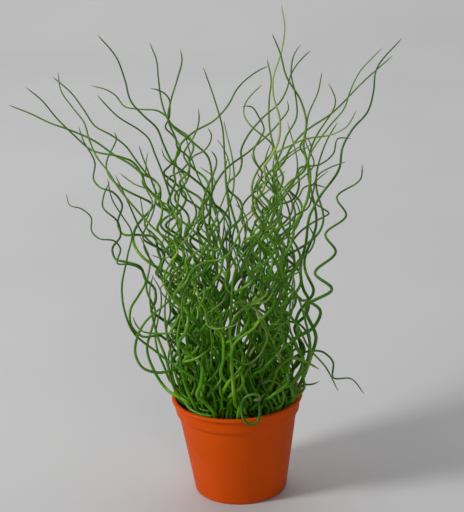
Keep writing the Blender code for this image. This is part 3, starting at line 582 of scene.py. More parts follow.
def ruled_line(place, rng, habit=FILLING):
    """Centre line of a stem that fills the bush.

    Its spine rises to a height drawn at random, leans outwards more and more, and sways to one
    side and back. Round it the stem winds, in turns that widen up to RULED_GROWN_BY of its way.
    A slow wave of its own makes the winding wider here and narrower there, and hurries and slows it.
    Stems that lean to the front or the back are favoured: they are longer and reach further out.
    """
    outward = math.atan2(place[1], place[0]) + rng.normal(0.0, RULED_SPREAD)
    favour = abs(math.sin(outward))
    height = rng.uniform(*habit[0]) * (1.0 + HEIGHT_FAVOUR * favour)
    reach = height * rng.uniform(*habit[1]) * (1.0 + REACH_FAVOUR * favour)
    sway = rng.uniform(-RULED_SWAY, RULED_SWAY)
    winding = rng.uniform(*habit[2])
    pitch = rng.uniform(*habit[3])
    start = rng.uniform(0.0, math.tau)
    hand = rng.choice((-1.0, 1.0))
    foot = root_points(place)
    steps = int(height / RULED_STEP)
    part = np.arange(1, steps + 1) / steps
    out = reach * (RULED_LEAN * part + (1.0 - RULED_LEAN) * part ** RULED_ARCH)
    side = sway * np.sin(RULED_SWAY_TURN * part)
    wander = np.sin(math.tau * (rng.uniform(*WANDER_TURNS) * part + rng.uniform())) * RULED_UNEVENNESS
    angle = start + hand * math.tau * part * height / pitch + WANDER_HURRY * wander
    grown = np.clip(part / RULED_GROWN_BY, 0.0, 1.0) * (1.0 - RULED_TIP_LOSS * part) * (1.0 + wander)
    grown = winding * grown
    along_lean = out + grown * np.cos(angle)
    across_lean = side + grown * np.sin(angle)
    spine = np.stack([
        place[0] + along_lean * math.cos(outward) - across_lean * math.sin(outward),
        place[1] + along_lean * math.sin(outward) + across_lean * math.cos(outward),
        foot[1, 2] + height * part,
    ], axis=1)
    return finely(np.concatenate([foot, spine]))


def read_at(line, places):
    """The line's points at these distances along it."""
    return np.stack([np.interp(places, along(line), line[:, k]) for k in range(3)], axis=1)


def spaced(line):
    """Distances along a line of its root, its foot's top, and a point for each share of the rest.

    A share is a run of LONGEST_RUN, or a turn of WIDEST_TURN, or some of each.
    """
    heading = np.diff(line, axis=0) / np.diff(along(line))[:, None]
    turning = np.arccos(np.clip((heading[1:] * heading[:-1]).sum(axis=1), -1.0, 1.0))
    cost = along(line) / LONGEST_RUN
    cost[2:] += np.cumsum(turning) / WIDEST_TURN
    foot = ROOT_DEPTH + FOOT_RISE
    start = np.interp(foot, along(line), cost)
    wanted = np.linspace(start, cost[-1], int(cost[-1] - start) + 2)
    return np.concatenate([[0.0, foot], np.interp(wanted[1:], cost, along(line))])


def stem_radii(points):
    """Radius at each point: it tapers from base to tip by a power of the way that is left."""
    left = 1.0 - along(points) / along(points)[-1]
    return STEM_TIP_RADIUS + (STEM_BASE_RADIUS - STEM_TIP_RADIUS) * left ** STEM_TAPER


def nearest_between(points, first, second):
    """Where each pair of runs comes nearest: the share along each, and the way from one to other."""
    run_a = points[first + 1] - points[first]
    run_b = points[second + 1] - points[second]
    apart = points[first] - points[second]
    aa, bb, ab = (run_a * run_a).sum(1), (run_b * run_b).sum(1), (run_a * run_b).sum(1)
    ad, bd = (run_a * apart).sum(1), (run_b * apart).sum(1)
    share_a = np.clip((ab * bd - ad * bb) / np.maximum(aa * bb - ab * ab, TINY), 0.0, 1.0)
    share_b = np.clip((ab * share_a + bd) / bb, 0.0, 1.0)
    share_a = np.clip((ab * share_b - ad) / aa, 0.0, 1.0)
    way = apart + run_a * share_a[:, None] - run_b * share_b[:, None]
    return share_a, share_b, way


def close_pairs(points, stem, free):
    """Pairs of runs of different stems that come within PAIR_REACH, of which one at least is free."""
    starts = np.flatnonzero(stem[:-1] == stem[1:])
    middle = (points[starts] + points[starts + 1]) / 2
    half = np.linalg.norm(points[starts + 1] - points[starts], axis=1) / 2
    distance = np.linalg.norm(middle[:, None] - middle[None], axis=2)
    near = distance < half[:, None] + half[None] + PAIR_REACH
    near &= stem[starts][:, None] < stem[starts][None]
    near &= free[starts][:, None] | free[starts][None]
    first, second = np.nonzero(near)
    return starts[first], starts[second]


def keep_off_pot(points, girth, free):
    """Moves free points out of the pot's wall, and up from the compost."""
    room = girth + CLEAR
    out = np.hypot(points[:, 0], points[:, 1])
    inner = COLLAR_TOP_RADIUS - POT_WALL - room
    outer = LIP_RADIUS + room
    at_lip = free & (points[:, 2] < POT_HEIGHT) & (out > inner) & (out < outer)
    target = np.where(out < (inner + outer) / 2, inner, outer)
    scale = np.where(at_lip, target / np.maximum(out, TINY), 1.0)
    points[:, :2] *= scale[:, None]
    low = free & (out < LIP_RADIUS)
    points[low, 2] = np.maximum(points[low, 2], SOIL_TOP + CROWN_ABOVE + room[low])


def lip_ring():
    """The middle line of the pot's lip, as a closed ring of points."""
    angle = np.linspace(0.0, math.tau, LIP_POINTS)
    radius = (LIP_RADIUS + COLLAR_TOP_RADIUS - POT_WALL) / 2
    return round_axis(radius, angle, (POT_HEIGHT + LIP_BOTTOM) / 2)


def bend_clear(lines):
    """Bends stems clear of each other, of the lip and of the compost.

    Where two runs come too near, each is pushed back by half of what is short. Its two ends move
    by their shares of the nearest place, so that this place moves by the whole push. Each round
    spreads the moves along a stem, and the last rounds only push. The lip takes part as one more
    line, which stays where it is.
    """
    points = np.concatenate([*lines, lip_ring()])
    sizes = [len(line) for line in lines] + [LIP_POINTS]
    stem = np.repeat(np.arange(len(sizes)), sizes)
    girth = [stem_radii(line) * STEM_GIRTH for line in lines]
    girth = np.concatenate([*girth, np.full(LIP_POINTS, LIP_GIRTH)])
    first_of = np.concatenate([[0], np.cumsum(sizes)])[:-1]
    free = stem < len(lines)
    free[first_of] = False
    free[first_of + 1] = False
    inner = np.flatnonzero((stem[:-2] == stem[2:])) + 1
    at_rest = points.copy()
    for turn in range(CLEAR_ROUNDS + SETTLE_ROUNDS):
        if turn % PAIR_ROUNDS == 0:
            first, second = close_pairs(points, stem, free)
        share_a, share_b, way = nearest_between(points, first, second)
        distance = np.linalg.norm(way, axis=1)
        needed = girth[first] + girth[second] + CLEAR
        push = np.maximum(needed - distance, 0.0) * 0.5
        across = np.cross(points[first + 1] - points[first], points[second + 1] - points[second])
        across /= np.linalg.norm(across, axis=1)[:, None] + TINY
        heading = np.where(distance[:, None] > TOUCHING, way / (distance[:, None] + TINY), across)
        move = np.zeros_like(points)
        for run, share, sign in ((first, share_a, 1.0), (second, share_b, -1.0)):
            grip = sign * push / ((1.0 - share) ** 2 + share ** 2)
            np.add.at(move, run, heading * (grip * (1.0 - share))[:, None])
            np.add.at(move, run + 1, heading * (grip * share)[:, None])
        points[free] += np.clip(move[free], -MOST_PUSH, MOST_PUSH)
        if turn < CLEAR_ROUNDS:
            moved = points - at_rest
            spread = moved.copy()
            spread[inner] += SPREAD * (moved[inner - 1] + moved[inner + 1] - 2.0 * moved[inner])
            points = np.where(free[:, None], at_rest + spread, points)
        keep_off_pot(points, girth, free)
    return np.split(points, first_of[1:])[:-1]


def frame_lines(places):
    """Fine centre lines of the frame's stems, and the crown that each grows from.

    They are bent clear at the coarse points of the frame's solids. The way that each coarse point
    moved is then spread smoothly over the fine line.
    """
    slots = []
    for crown, (across, depth, stems) in enumerate(places):
        for turn in range(stems):
            angle = math.tau * turn / stems + crown
            slots.append((across + ROOT_CIRCLE * math.cos(angle),
                          depth + ROOT_CIRCLE * math.sin(angle), crown))
    slots = np.array(slots)
    taken = np.zeros(len(slots), bool)
    rng = np.random.default_rng(SEED)
    lines, crowns = [], []
    for root, tip_depth, outline in DRAWN_STEMS.values():
        away = np.hypot(slots[:, 0] - root[0], slots[:, 1] - root[1])
        slot = int(np.argmin(np.where(taken, np.inf, away)))
        taken[slot] = True
        lines.append(drawn_line(slots[slot, :2], tip_depth, outline, rng))
        crowns.append(int(slots[slot, 2]))
    for slot in np.flatnonzero(~taken):
        lines.append(ruled_line(slots[slot, :2], rng))
        crowns.append(int(slots[slot, 2]))
    coarse = [read_at(line, spaced(line)) for line in lines]
    moved = [after - before for before, after in zip(coarse, bend_clear(coarse))]
    fine = [line + smooth_through(move, along(line), spaced(line)) for line, move in zip(lines, moved)]
    return fine, crowns


def open_roots(roots, count, rng):
    """Places for more roots on the compost: each is the most open of a few random ones."""
    roots = roots.copy()
    for _ in range(count):
        angle = rng.uniform(0.0, math.tau, ROOT_TRIES)
        out = ROOTED_RADIUS * np.sqrt(rng.uniform(0.0, 1.0, ROOT_TRIES))
        tries = round_axis(out, angle)[:, :2]
        away = np.linalg.norm(tries[:, None] - roots[None], axis=2).min(axis=1)
        roots = np.concatenate([roots, tries[[np.argmax(away)]]])
    return roots[-count:]


def more_lines(places, lines):
    """Fine centre lines of the further stems, and the crown that is nearest to each."""
    rng = np.random.default_rng(MORE_SEED)
    habits = [habit for count, *habit in HABITS.values() for _ in range(count)]
    roots = open_roots(np.array([line[0, :2] for line in lines]), len(FRONT_STEMS) + len(habits), rng)
    found = []
    for root, tip_depth, outline in FRONT_STEMS.values():
        nearest = np.linalg.norm(roots - root, axis=1).argmin()
        found.append(drawn_line(roots[nearest], tip_depth, outline, rng))
        roots = np.delete(roots, nearest, axis=0)
    found += [ruled_line(root, rng, habit) for root, habit in zip(rng.permutation(roots), habits)]
    centres = np.array([place[:2] for place in places])
    starts = np.array([line[0, :2] for line in found])
    crowns = np.linalg.norm(starts[:, None] - centres[None], axis=2).argmin(axis=1)
    return found, crowns.tolist()


def ring_distances(lines):
    """Distance of each ring along its stem, for all stems at once."""
    steps = np.linalg.norm(np.diff(lines, axis=1), axis=2)
    return np.concatenate([np.zeros((len(lines), 1)), np.cumsum(steps, axis=1)], axis=1)


def round_radii(lines, stoutness, blunt):
    """Radius at each ring: the frame's taper times a stem's own stoutness, and a pointed tip.

    Where a stem's blunt radius isn't zero, it has that at its tip, which is short and round.
    """
    distance = ring_distances(lines)
    left = distance[:, -1:] - distance
    tips = np.where(blunt > 0.0, blunt, STEM_TIP_RADIUS)[:, None]
    radii = tips + (STEM_BASE_RADIUS - tips) * (left / distance[:, -1:]) ** STEM_TAPER
    point = np.clip(left / np.where(blunt > 0.0, blunt, POINT_LENGTH)[:, None], 0.0, 1.0) ** 0.5
    return POINT_RADIUS + (radii * stoutness[:, None] - POINT_RADIUS) * point


def near_runs(points, starts, stem):
    """Pairs of runs of different stems that lie near each other, found by sorting them into cubes."""
    middle = (points[starts] + points[starts + 1]) / 2
    reach = FINE_REACH + np.linalg.norm(points[starts + 1] - points[starts], axis=1).max()
    cube = ((middle - middle.min(axis=0)) / reach).astype(np.int64) + 1
    spans = cube.max(axis=0) + 2
    weights = np.array((spans[1] * spans[2], spans[2], 1))
    key = cube @ weights
    order = np.argsort(key)
    firsts, seconds = [], []
    for beside in np.ndindex(3, 3, 3):
        wanted = key + (np.array(beside) - 1) @ weights
        low = np.searchsorted(key[order], wanted, "left")
        count = np.searchsorted(key[order], wanted, "right") - low
        first = np.repeat(np.arange(len(key)), count)
        within = np.arange(count.sum()) - np.repeat(np.cumsum(count) - count, count)
        second = order[np.repeat(low, count) + within]
        keep = stem[starts[first]] < stem[starts[second]]
        keep[keep] = np.linalg.norm(middle[first[keep]] - middle[second[keep]], axis=1) < reach
        firsts.append(first[keep])
        seconds.append(second[keep])
    return starts[np.concatenate(firsts)], starts[np.concatenate(seconds)]


def push_off_lip(points, girth):
    """Moves points straight away from the middle line of the pot's lip, where they come too near."""
    out = np.hypot(points[:, 0], points[:, 1])
    across = out - (LIP_RADIUS + COLLAR_TOP_RADIUS - POT_WALL) / 2
    up = points[:, 2] - (POT_HEIGHT + LIP_BOTTOM) / 2
    distance = np.hypot(across, up)
    short = np.maximum(LIP_GIRTH + girth - distance, 0.0) / np.maximum(distance, TINY)
    points[:, :2] *= (1.0 + across * short / np.maximum(out, TINY))[:, None]
    points[:, 2] += up * short


def settle(lines, girth):
    """Bends the fine lines clear of each other, of the lip and of the compost.

    It pushes as bend_clear does, at every ring. A round's moves are averaged along the stem, and
    so are all moves together, so that the stems stay smooth. A stem's foot stays where it is.
    """
    stems, rings = girth.shape
    stem = np.repeat(np.arange(stems), rings)
    starts = np.flatnonzero(stem[:-1] == stem[1:])
    at_rest = lines.reshape(-1, 3)
    past_foot = ring_distances(lines) - ROOT_DEPTH - FOOT_RISE
    hold = np.clip(past_foot / FOOT_EASE, 0.0, 1.0).reshape(-1, 1)
    free = hold[:, 0] > 0.0
    points = at_rest.copy()
    room = girth.ravel()
    for turn in range(FINE_ROUNDS):
        if turn % PAIR_ROUNDS == 0:
            first, second = near_runs(points, starts, stem)
        share_a, share_b, way = nearest_between(points, first, second)
        distance = np.linalg.norm(way, axis=1) + TINY
        push = np.clip((room[first] + room[second] + FINE_CLEAR - distance) * 0.5, 0.0, MOST_PUSH)
        move = np.zeros_like(points)
        for run, share, sign in ((first, share_a, 1.0), (second, share_b, -1.0)):
            grip = (sign * push / distance / ((1.0 - share) ** 2 + share ** 2))[:, None] * way
            np.add.at(move, run, grip * (1.0 - share)[:, None])
            np.add.at(move, run + 1, grip * share[:, None])
        moved = points - at_rest + hold * np.clip(move, -MOST_PUSH, MOST_PUSH)
        moved = moved.reshape(stems, rings, 3)
        moved[:, 1:-1] += SPREAD * (moved[:, :-2] + moved[:, 2:] - 2.0 * moved[:, 1:-1])
        points = at_rest + hold * moved.reshape(-1, 3)
        keep_off_pot(points, room, free)
        push_off_lip(points, room)
    return points.reshape(stems, rings, 3)


def carried_frames(lines):
    """Two unit vectors across each line, carried from ring to ring without twisting."""
    heading = np.gradient(lines, axis=1)
    heading /= np.linalg.norm(heading, axis=2)[..., None]
    side = np.empty_like(lines)
    here = np.cross(heading[:, 0], (0.0, 1.0, 0.0))
    for ring in range(lines.shape[1]):
        ahead = heading[:, ring]
        here = here - ahead * (here * ahead).sum(axis=1)[:, None]
        here /= np.linalg.norm(here, axis=1)[:, None]
        side[:, ring] = here
    return heading, side, np.cross(heading, side)


def tube_rings(lines, radii, sides, slant=0.0):
    """Rings of points round each line: centre + radius (side cos a + over sin a) + slant cos a.

    The slant moves a ring's points ahead or back along the line, which cuts a mouth obliquely.
    """
    heading, side, over = carried_frames(lines)
    angle = np.arange(sides) * math.tau / sides
    cosine, sine = np.cos(angle)[:, None], np.sin(angle)[:, None]
    across = side[:, :, None] * cosine + over[:, :, None] * sine
    ahead = heading[:, :, None] * cosine * np.reshape(slant, (1, -1, 1, 1))
    return lines[:, :, None] + across * radii[..., None, None] + ahead


def turned_rings(profile, sides):
    """Rings of points turned about Z, one for each (radius, height) of the profile."""
    radius, height = np.array(profile).T[:, :, None]
    return round_axis(radius, np.arange(sides) * math.tau / sides, height)[None]


def closed_faces(rings, first=0):
    """Faces of closed tubes, where rings is (tubes, rings, sides, 3) and both ends are flat."""
    tubes, length, sides = rings.shape[:3]
    base = np.arange(tubes)[:, None, None] * length * sides + first
    corner = base + np.arange(length - 1)[:, None] * sides + np.arange(sides)
    beside = np.roll(corner, -1, axis=2)
    walls = np.stack([corner, beside, beside + sides, corner + sides], axis=-1).reshape(-1, 4)
    root = base[:, 0] + np.arange(sides)
    ends = np.concatenate([root[:, ::-1], root + (length - 1) * sides])
    return walls.tolist() + ends.tolist()


def new_object(name, data):
    """An object of the scene that shows this data."""
    thing = bpy.data.objects.new(name, data)
    bpy.context.scene.collection.objects.link(thing)
    return thing


def make_piece(name, shapes, material, nodes=(), marks=None):
    """An object from rings of closed tubes. Marks are its attributes: name to one value per point."""
    faces, first = [], 0
    for rings in shapes:
        faces += closed_faces(rings, first)
        first += rings.size // 3
    points = np.concatenate([rings.reshape(-1, 3) for rings in shapes])
    mesh = bpy.data.meshes.new(name)
    mesh.from_pydata((points * MM).tolist(), [], faces)
    for mark, values in (marks or {}).items():
        values = np.asarray(values, np.float32)
        kind, field = ("FLOAT", "value") if values.ndim == 1 else ("FLOAT_VECTOR", "vector")
        mesh.attributes.new(mark, kind, "POINT").data.foreach_set(field, values.ravel())
    mesh.materials.append(material)
    mesh.shade_smooth()
    mesh.set_sharp_from_angle(angle=math.radians(SHARP_ANGLE))
    piece = new_object(name, mesh)
    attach(piece, "root")
    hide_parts(*nodes)
    return piece


def linear(colour):
    """An sRGB colour, written in hex, as the linear colour that shaders take."""
    channels = np.array([int(colour[k:k + 2], 16) / 255 for k in (1, 3, 5)])
    channels = np.where(channels <= 0.04045, channels / 12.92, ((channels + 0.055) / 1.055) ** 2.4)
    return (*channels.tolist(), 1.0)


def new_material(name):
    """A material of this name that uses nodes."""
    material = bpy.data.materials.new(name)
    material.use_nodes = True
    return material


def add(material, kind, sockets=(), stops=(), **settings):
    """One shader node: its settings, its sockets from values or links, and a ramp's stops."""
    node = material.node_tree.nodes.new("ShaderNode" + kind)
    for name, value in settings.items():
        setattr(node, name, value)
    for socket, value in dict(sockets).items():
        if isinstance(value, bpy.types.NodeSocket):
            material.node_tree.links.new(value, node.inputs[socket])
        else:
            node.inputs[socket].default_value = value
    if stops:
        elements = node.color_ramp.elements
        elements.remove(elements[1])
        elements[0].position, elements[0].color = stops[0][0], linear(stops[0][1])
        for place, colour in stops[1:]:
            elements.new(place).color = linear(colour)
    return node


def finish(material, **sockets):
    """Sets the material's own shader: values or links by socket, with _ for a space."""
    shader = material.node_tree.nodes["Principled BSDF"]
    for name, value in sockets.items():
        socket = shader.inputs[name.replace("_", " ")]
        if isinstance(value, bpy.types.NodeSocket):
            material.node_tree.links.new(value, socket)
        else:
            socket.default_value = value
    return material


def scale_for(size):
    """A noise texture's scale that makes its blotches about this many millimetres wide."""
    return 1.0 / (size * MM)


def moulded_polypropylene():
    """Polypropylene, injection moulded: an even terracotta orange with a satin sheen.

    The mould leaves a fine matt grain, drawn coarser than it is so that it shows, and handling
    leaves dull patches and a few pale specks of dust.
    """
    plastic = new_material("moulded_polypropylene")
    place = add(plastic, "TexCoord").outputs["Object"]
    cloud, speck, worn, grain = (
        add(plastic, "TexNoise", {"Vector": place, "Scale": scale_for(size), "Detail": detail})
        for size, detail in ((38.0, 3.0), (2.6, 1.0), (9.0, 4.0), (0.7, 2.0)))
    stops = [(0.35, "#D34D00"), (0.65, "#D95100")]
    orange = add(plastic, "ValToRGB", {"Fac": cloud.outputs["Fac"]}, stops)
    reach = {"From Min": 0.74, "From Max": 0.80, "To Max": 0.45}
    dust = add(plastic, "MapRange", {"Value": speck.outputs["Fac"], **reach})
    dusty = {0: dust.outputs["Result"], 6: orange.outputs["Color"], 7: linear("#E0925C")}
    colour = add(plastic, "Mix", dusty, data_type="RGBA")
    reach = {"From Min": 0.3, "From Max": 0.7, "To Min": 0.42, "To Max": 0.56}
    rough = add(plastic, "MapRange", {"Value": worn.outputs["Fac"], **reach})
    raised = {"Height": grain.outputs["Fac"], "Strength": 0.12, "Distance": 0.2 * MM}
    bump = add(plastic, "Bump", raised)
    return finish(plastic, Base_Color=colour.outputs[2], Roughness=rough.outputs["Result"],
                  Normal=bump.outputs["Normal"], IOR=1.49, Specular_IOR_Level=0.08)


def peat_compost():
    """Moist peat, quite matt: warm brown where fibres stand up, near black in the hollows, partly as
    painted shade.
    """
    peat = new_material("peat_compost")
    place = add(peat, "TexCoord").outputs["Object"]
    tint = add(peat, "Attribute", attribute_name="tint").outputs["Fac"]
    crumb = add(peat, "TexNoise", {"Vector": place, "Scale": scale_for(2.2), "Detail": 5.0})
    crumb = crumb.outputs["Fac"]
    # The colour follows the crumb noise that also sets the bump, so the hollows are painted darker:
    # painted shade on top of the peat's own mix of tones.
    mixed = add(peat, "Math", {0: crumb, 1: tint}, operation="ADD").outputs["Value"]
    stops = [(0.40, "#140D08"), (0.62, "#2C1D13"), (0.85, "#4A3424"), (1.0, "#6E5238")]
    colour = add(peat, "ValToRGB", {"Fac": mixed}, stops).outputs["Color"]
    bump = add(peat, "Bump", {"Height": crumb, "Strength": 0.7, "Distance": 0.8 * MM})
    return finish(peat, Base_Color=colour, Roughness=0.93, Normal=bump.outputs["Normal"])


def waxy_rush_stem():
    """Rush stem: a smooth waxy skin over white pith, with fine ribs along it.

    It is a lively green low down and a duller one towards the tip. Where 'dry' is 1 the skin is
    dead: red-brown and papery at the foot, grey-brown at the tip.
    """
    skin = new_material("waxy_rush_stem")
    place = add(skin, "TexCoord").outputs["Object"]
    grain = add(skin, "Attribute", attribute_name="grain").outputs["Vector"]
    tint, dry, up = (add(skin, "Attribute", attribute_name=name).outputs["Fac"]
                     for name in ("tint", "dry", "up"))
    ribs = add(skin, "TexNoise", {"Vector": grain, "Scale": 1.0, "Detail": 2.0}).outputs["Fac"]
    patch = add(skin, "TexNoise", {"Vector": place, "Scale": scale_for(30.0), "Detail": 2.0})
    shade = add(skin, "Math", {0: tint, 1: patch.outputs["Fac"]}, operation="ADD").outputs["Value"]
    shade = add(skin, "Math", {0: shade, 1: ribs, 2: -0.25}, operation="ADD").outputs["Value"]
    shade = add(skin, "MapRange", {"Value": shade, "From Min": 0.66, "From Max": 2.15}).outputs["Result"]
    stops = [(0.0, "#1D4502"), (0.3, "#316803"), (0.6, "#4F8B08"), (0.8, "#7AAA22"), (1.0, "#A9BC62")]
    lively = add(skin, "ValToRGB", {"Fac": shade}, stops).outputs["Color"]
    stops = [(0.0, "#2C4C0C"), (0.4, "#446A16"), (0.8, "#728F3A"), (1.0, "#B0B976")]
    dull = add(skin, "ValToRGB", {"Fac": shade}, stops).outputs["Color"]
    fade = add(skin, "MapRange", {"Value": up, "From Min": 0.45, "From Max": 1.0}).outputs["Result"]
    green = add(skin, "Mix", {0: fade, 6: lively, 7: dull}, data_type="RGBA").outputs[2]
    foot = add(skin, "ValToRGB", {"Fac": ribs}, [(0.3, "#3A2010"), (0.5, "#5F4424"), (0.7, "#8E7444")])
    tip = add(skin, "ValToRGB", {"Fac": ribs}, [(0.3, "#5E5644"), (0.7, "#8A8470")])
    dead = {0: up, 6: foot.outputs["Color"], 7: tip.outputs["Color"]}
    dead = add(skin, "Mix", dead, data_type="RGBA").outputs[2]
    colour = add(skin, "Mix", {0: dry, 6: green, 7: dead}, data_type="RGBA").outputs[2]
    rough = add(skin, "MapRange", {"Value": dry, "To Min": 0.27, "To Max": 0.75}).outputs["Result"]
    bump = add(skin, "Bump", {"Height": ribs, "Strength": 0.25, "Distance": 0.15 * MM})
    return finish(skin, Base_Color=colour, Roughness=rough, Normal=bump.outputs["Normal"], IOR=1.45,
                  Specular_IOR_Level=0.25)


def seamless_paper():
    """Matt studio paper, pale grey, a little uneven."""
    paper = new_material("seamless_paper")
    place = add(paper, "TexCoord").outputs["Object"]
    cloud = add(paper, "TexNoise", {"Vector": place, "Scale": scale_for(400.0), "Detail": 2.0})
    grey = add(paper, "ValToRGB", {"Fac": cloud.outputs["Fac"]}, [(0.3, "#BABABB"), (0.7, "#BFBFBF")])
    return finish(paper, Base_Color=grey.outputs["Color"], Roughness=0.9)


def rounded(corners):
    """An outline through corners of (radius, height, rounding).

    Each corner gives way to a parabola that touches both its sides, at its rounding from it. The
    curve is corner + rounding ((1 - t)^2 back + t^2 ahead) with unit steps back and ahead.
    """
    points = [np.array([corners[0][:2]])]
    share = np.linspace(0.0, 1.0, ROUNDING_STEPS)[:, None]
    for before, here, after in zip(corners, corners[1:], corners[2:]):
        corner = np.array(here[:2])
        back, ahead = np.array(before[:2]) - corner, np.array(after[:2]) - corner
        back, ahead = back / np.linalg.norm(back), ahead / np.linalg.norm(ahead)
        points.append(corner + here[2] * (back * (1.0 - share) ** 2 + ahead * share ** 2))
    return np.concatenate([*points, [corners[-1][:2]]])


def make_pot():
    """The pot: a turned shell with a rolled lip, a collar, a tapered body and a raised ring.

    Its outline runs from the middle of the base up the outside and back down the inside. Drainage
    holes are drilled through the ring.
    """
    wall = POT_WALL
    outline = rounded([
        (POT_HUB, 0.0, 0.0),
        (RING_INNER_RADIUS, 0.0, 0.6),
        (RING_INNER_RADIUS + RING_SLOPE, RING_LIFT, 0.6),
        (RING_OUTER_RADIUS - RING_SLOPE, RING_LIFT, 0.6),
        (RING_OUTER_RADIUS, 0.0, 0.6),
        (FOOT_RADIUS + FOOT_SPREAD, 0.0, 2.6),
        (BODY_TOP_RADIUS, STEP_BOTTOM, 0.3),
        (BODY_TOP_RADIUS + STEP_LEDGE[0], STEP_BOTTOM + STEP_LEDGE[1], 0.6),
        (COLLAR_RADIUS, COLLAR_BOTTOM, 1.2),
        (COLLAR_TOP_RADIUS, LIP_BOTTOM, 0.25),
        (LIP_RADIUS, LIP_BOTTOM, 1.3),
        (LIP_RADIUS, POT_HEIGHT, 1.5),
        (COLLAR_TOP_RADIUS - wall, POT_HEIGHT, 1.0),
        (COLLAR_RADIUS - wall, COLLAR_BOTTOM, 0.6),
        (BODY_TOP_RADIUS - wall, STEP_BOTTOM, 0.6),
        (BODY_FOOT_RADIUS - wall, FOOT_HEIGHT, 1.5),
        (RING_OUTER_RADIUS + RING_SLOPE, wall, 0.6),
        (RING_OUTER_RADIUS, RING_LIFT + wall, 0.6),
        (RING_INNER_RADIUS, RING_LIFT + wall, 0.6),
        (RING_INNER_RADIUS - RING_SLOPE, wall, 0.6),
        (POT_HUB, wall, 0.0),
    ])
    plastic = moulded_polypropylene()
    shell = turned_rings(outline, POT_SIDES)
    pot = make_piece("nursery_pot", [shell], plastic, ["pot"])
    ends = [(DRAIN_RADIUS, -DRILL_PAST), (DRAIN_RADIUS, RING_LIFT + wall + DRILL_PAST)]
    centres = round_axis(DRAIN_CIRCLE, np.arange(DRAIN_COUNT) * math.tau / DRAIN_COUNT)
    drill = turned_rings(ends, DRAIN_SIDES) + centres[:, None, None]
    drills = make_piece("drills", [drill], plastic)
    cut = pot.modifiers.new("drain_holes", "BOOLEAN")
    cut.operation = "DIFFERENCE"
    cut.solver = "EXACT"
    cut.object = drills
    graph = bpy.context.evaluated_depsgraph_get()
    pot.data = bpy.data.meshes.new_from_object(pot.evaluated_get(graph))
    pot.modifiers.clear()
    bpy.data.objects.remove(drills, do_unlink=True)


def make_compost(rng):
    """The compost: a plug that fills the pot, with crumbs and fibres lying on it.

    Its top dips by SOIL_DIP sin^2(SOIL_WAVES a + r) and is rough by the sum of many random ripples,
    each a sine of its own length and heading. Both ease off to nothing at the pot's wall.
    """
    peat = peat_compost()
    inset = POT_WALL + SOIL_GAP
    edge = COLLAR_RADIUS - inset
    radius = edge * np.sqrt(np.linspace(1.0, SOIL_INNER_SHARE, SOIL_RINGS))
    side = [(edge, COLLAR_BOTTOM + SOIL_GAP), (BODY_TOP_RADIUS - inset, STEP_BOTTOM + SOIL_GAP)]
    foot = RING_LIFT + inset
    slope = (BODY_TOP_RADIUS - BODY_FOOT_RADIUS) / (STEP_BOTTOM - FOOT_HEIGHT)
    bottom = BODY_FOOT_RADIUS - inset + slope * (foot - FOOT_HEIGHT)
    profile = [(SOIL_HUB, foot), (bottom, foot), *side[::-1], *((out, SOIL_TOP) for out in radius)]
    rings = turned_rings(profile, SOIL_SIDES)
    top = rings[:, -SOIL_RINGS:]
    angle = np.arctan2(top[..., 1], top[..., 0])
    ease = 1.0 - (radius[:, None] / edge) ** SOIL_EDGE
    top[..., 2] -= SOIL_DIP * ease * np.sin(SOIL_WAVES * angle + radius[:, None]) ** 2
    ripple = np.zeros(top.shape[:3])
    for _ in range(SOIL_RIPPLES):
        heading, turn = rng.uniform(0.0, math.tau, 2)
        length = rng.uniform(*SOIL_RIPPLE_LENGTH)
        across = top[..., 0] * math.cos(heading) + top[..., 1] * math.sin(heading)
        ripple += np.sin(math.tau * across / length + turn) * length
    top[..., 2] += SOIL_ROUGHNESS * ease * ripple / ripple.std()
    tint = np.full(rings.size // 3, SOIL_TINT)
    make_piece("compost", [rings], peat, ["soil"], {"tint": tint})
    lumps = [lying_lumps(rng, *kind) for *kind, _ in LYING.values()]
    tint = np.concatenate([rng.uniform(*tints, count) for count, *_, tints in LYING.values()])
    marks = {"tint": np.repeat(tint, len(LUMP_PROFILE) * LUMP_SIDES)}
    make_piece("compost_crumbs", lumps, peat, (), marks)


def lying_lumps(rng, count, sizes, slimness):
    """Rings of small uneven lumps that lie on the compost: a spindle along a random level line."""
    angle, heading = rng.uniform(0.0, math.tau, (2, count))
    out = ROOTED_RADIUS * np.sqrt(rng.uniform(0.0, 1.0, count))
    size = rng.uniform(*sizes, count)
    slim = rng.uniform(*slimness, count)
    ahead = round_axis(1.0, heading, rng.uniform(-LUMP_TILT, LUMP_TILT, count))
    centre = round_axis(out, angle, SOIL_TOP)
    share, swell = np.array(LUMP_PROFILE).T
    lines = centre[:, None] + ahead[:, None] * (share - 0.5)[:, None] * size[:, None, None]
    radii = swell * (size * slim / 2)[:, None]
    rings = tube_rings(lines, radii, LUMP_SIDES)
    return rings + rng.normal(0.0, LUMP_ROUGHNESS, rings.shape) * (size * slim)[:, None, None, None]


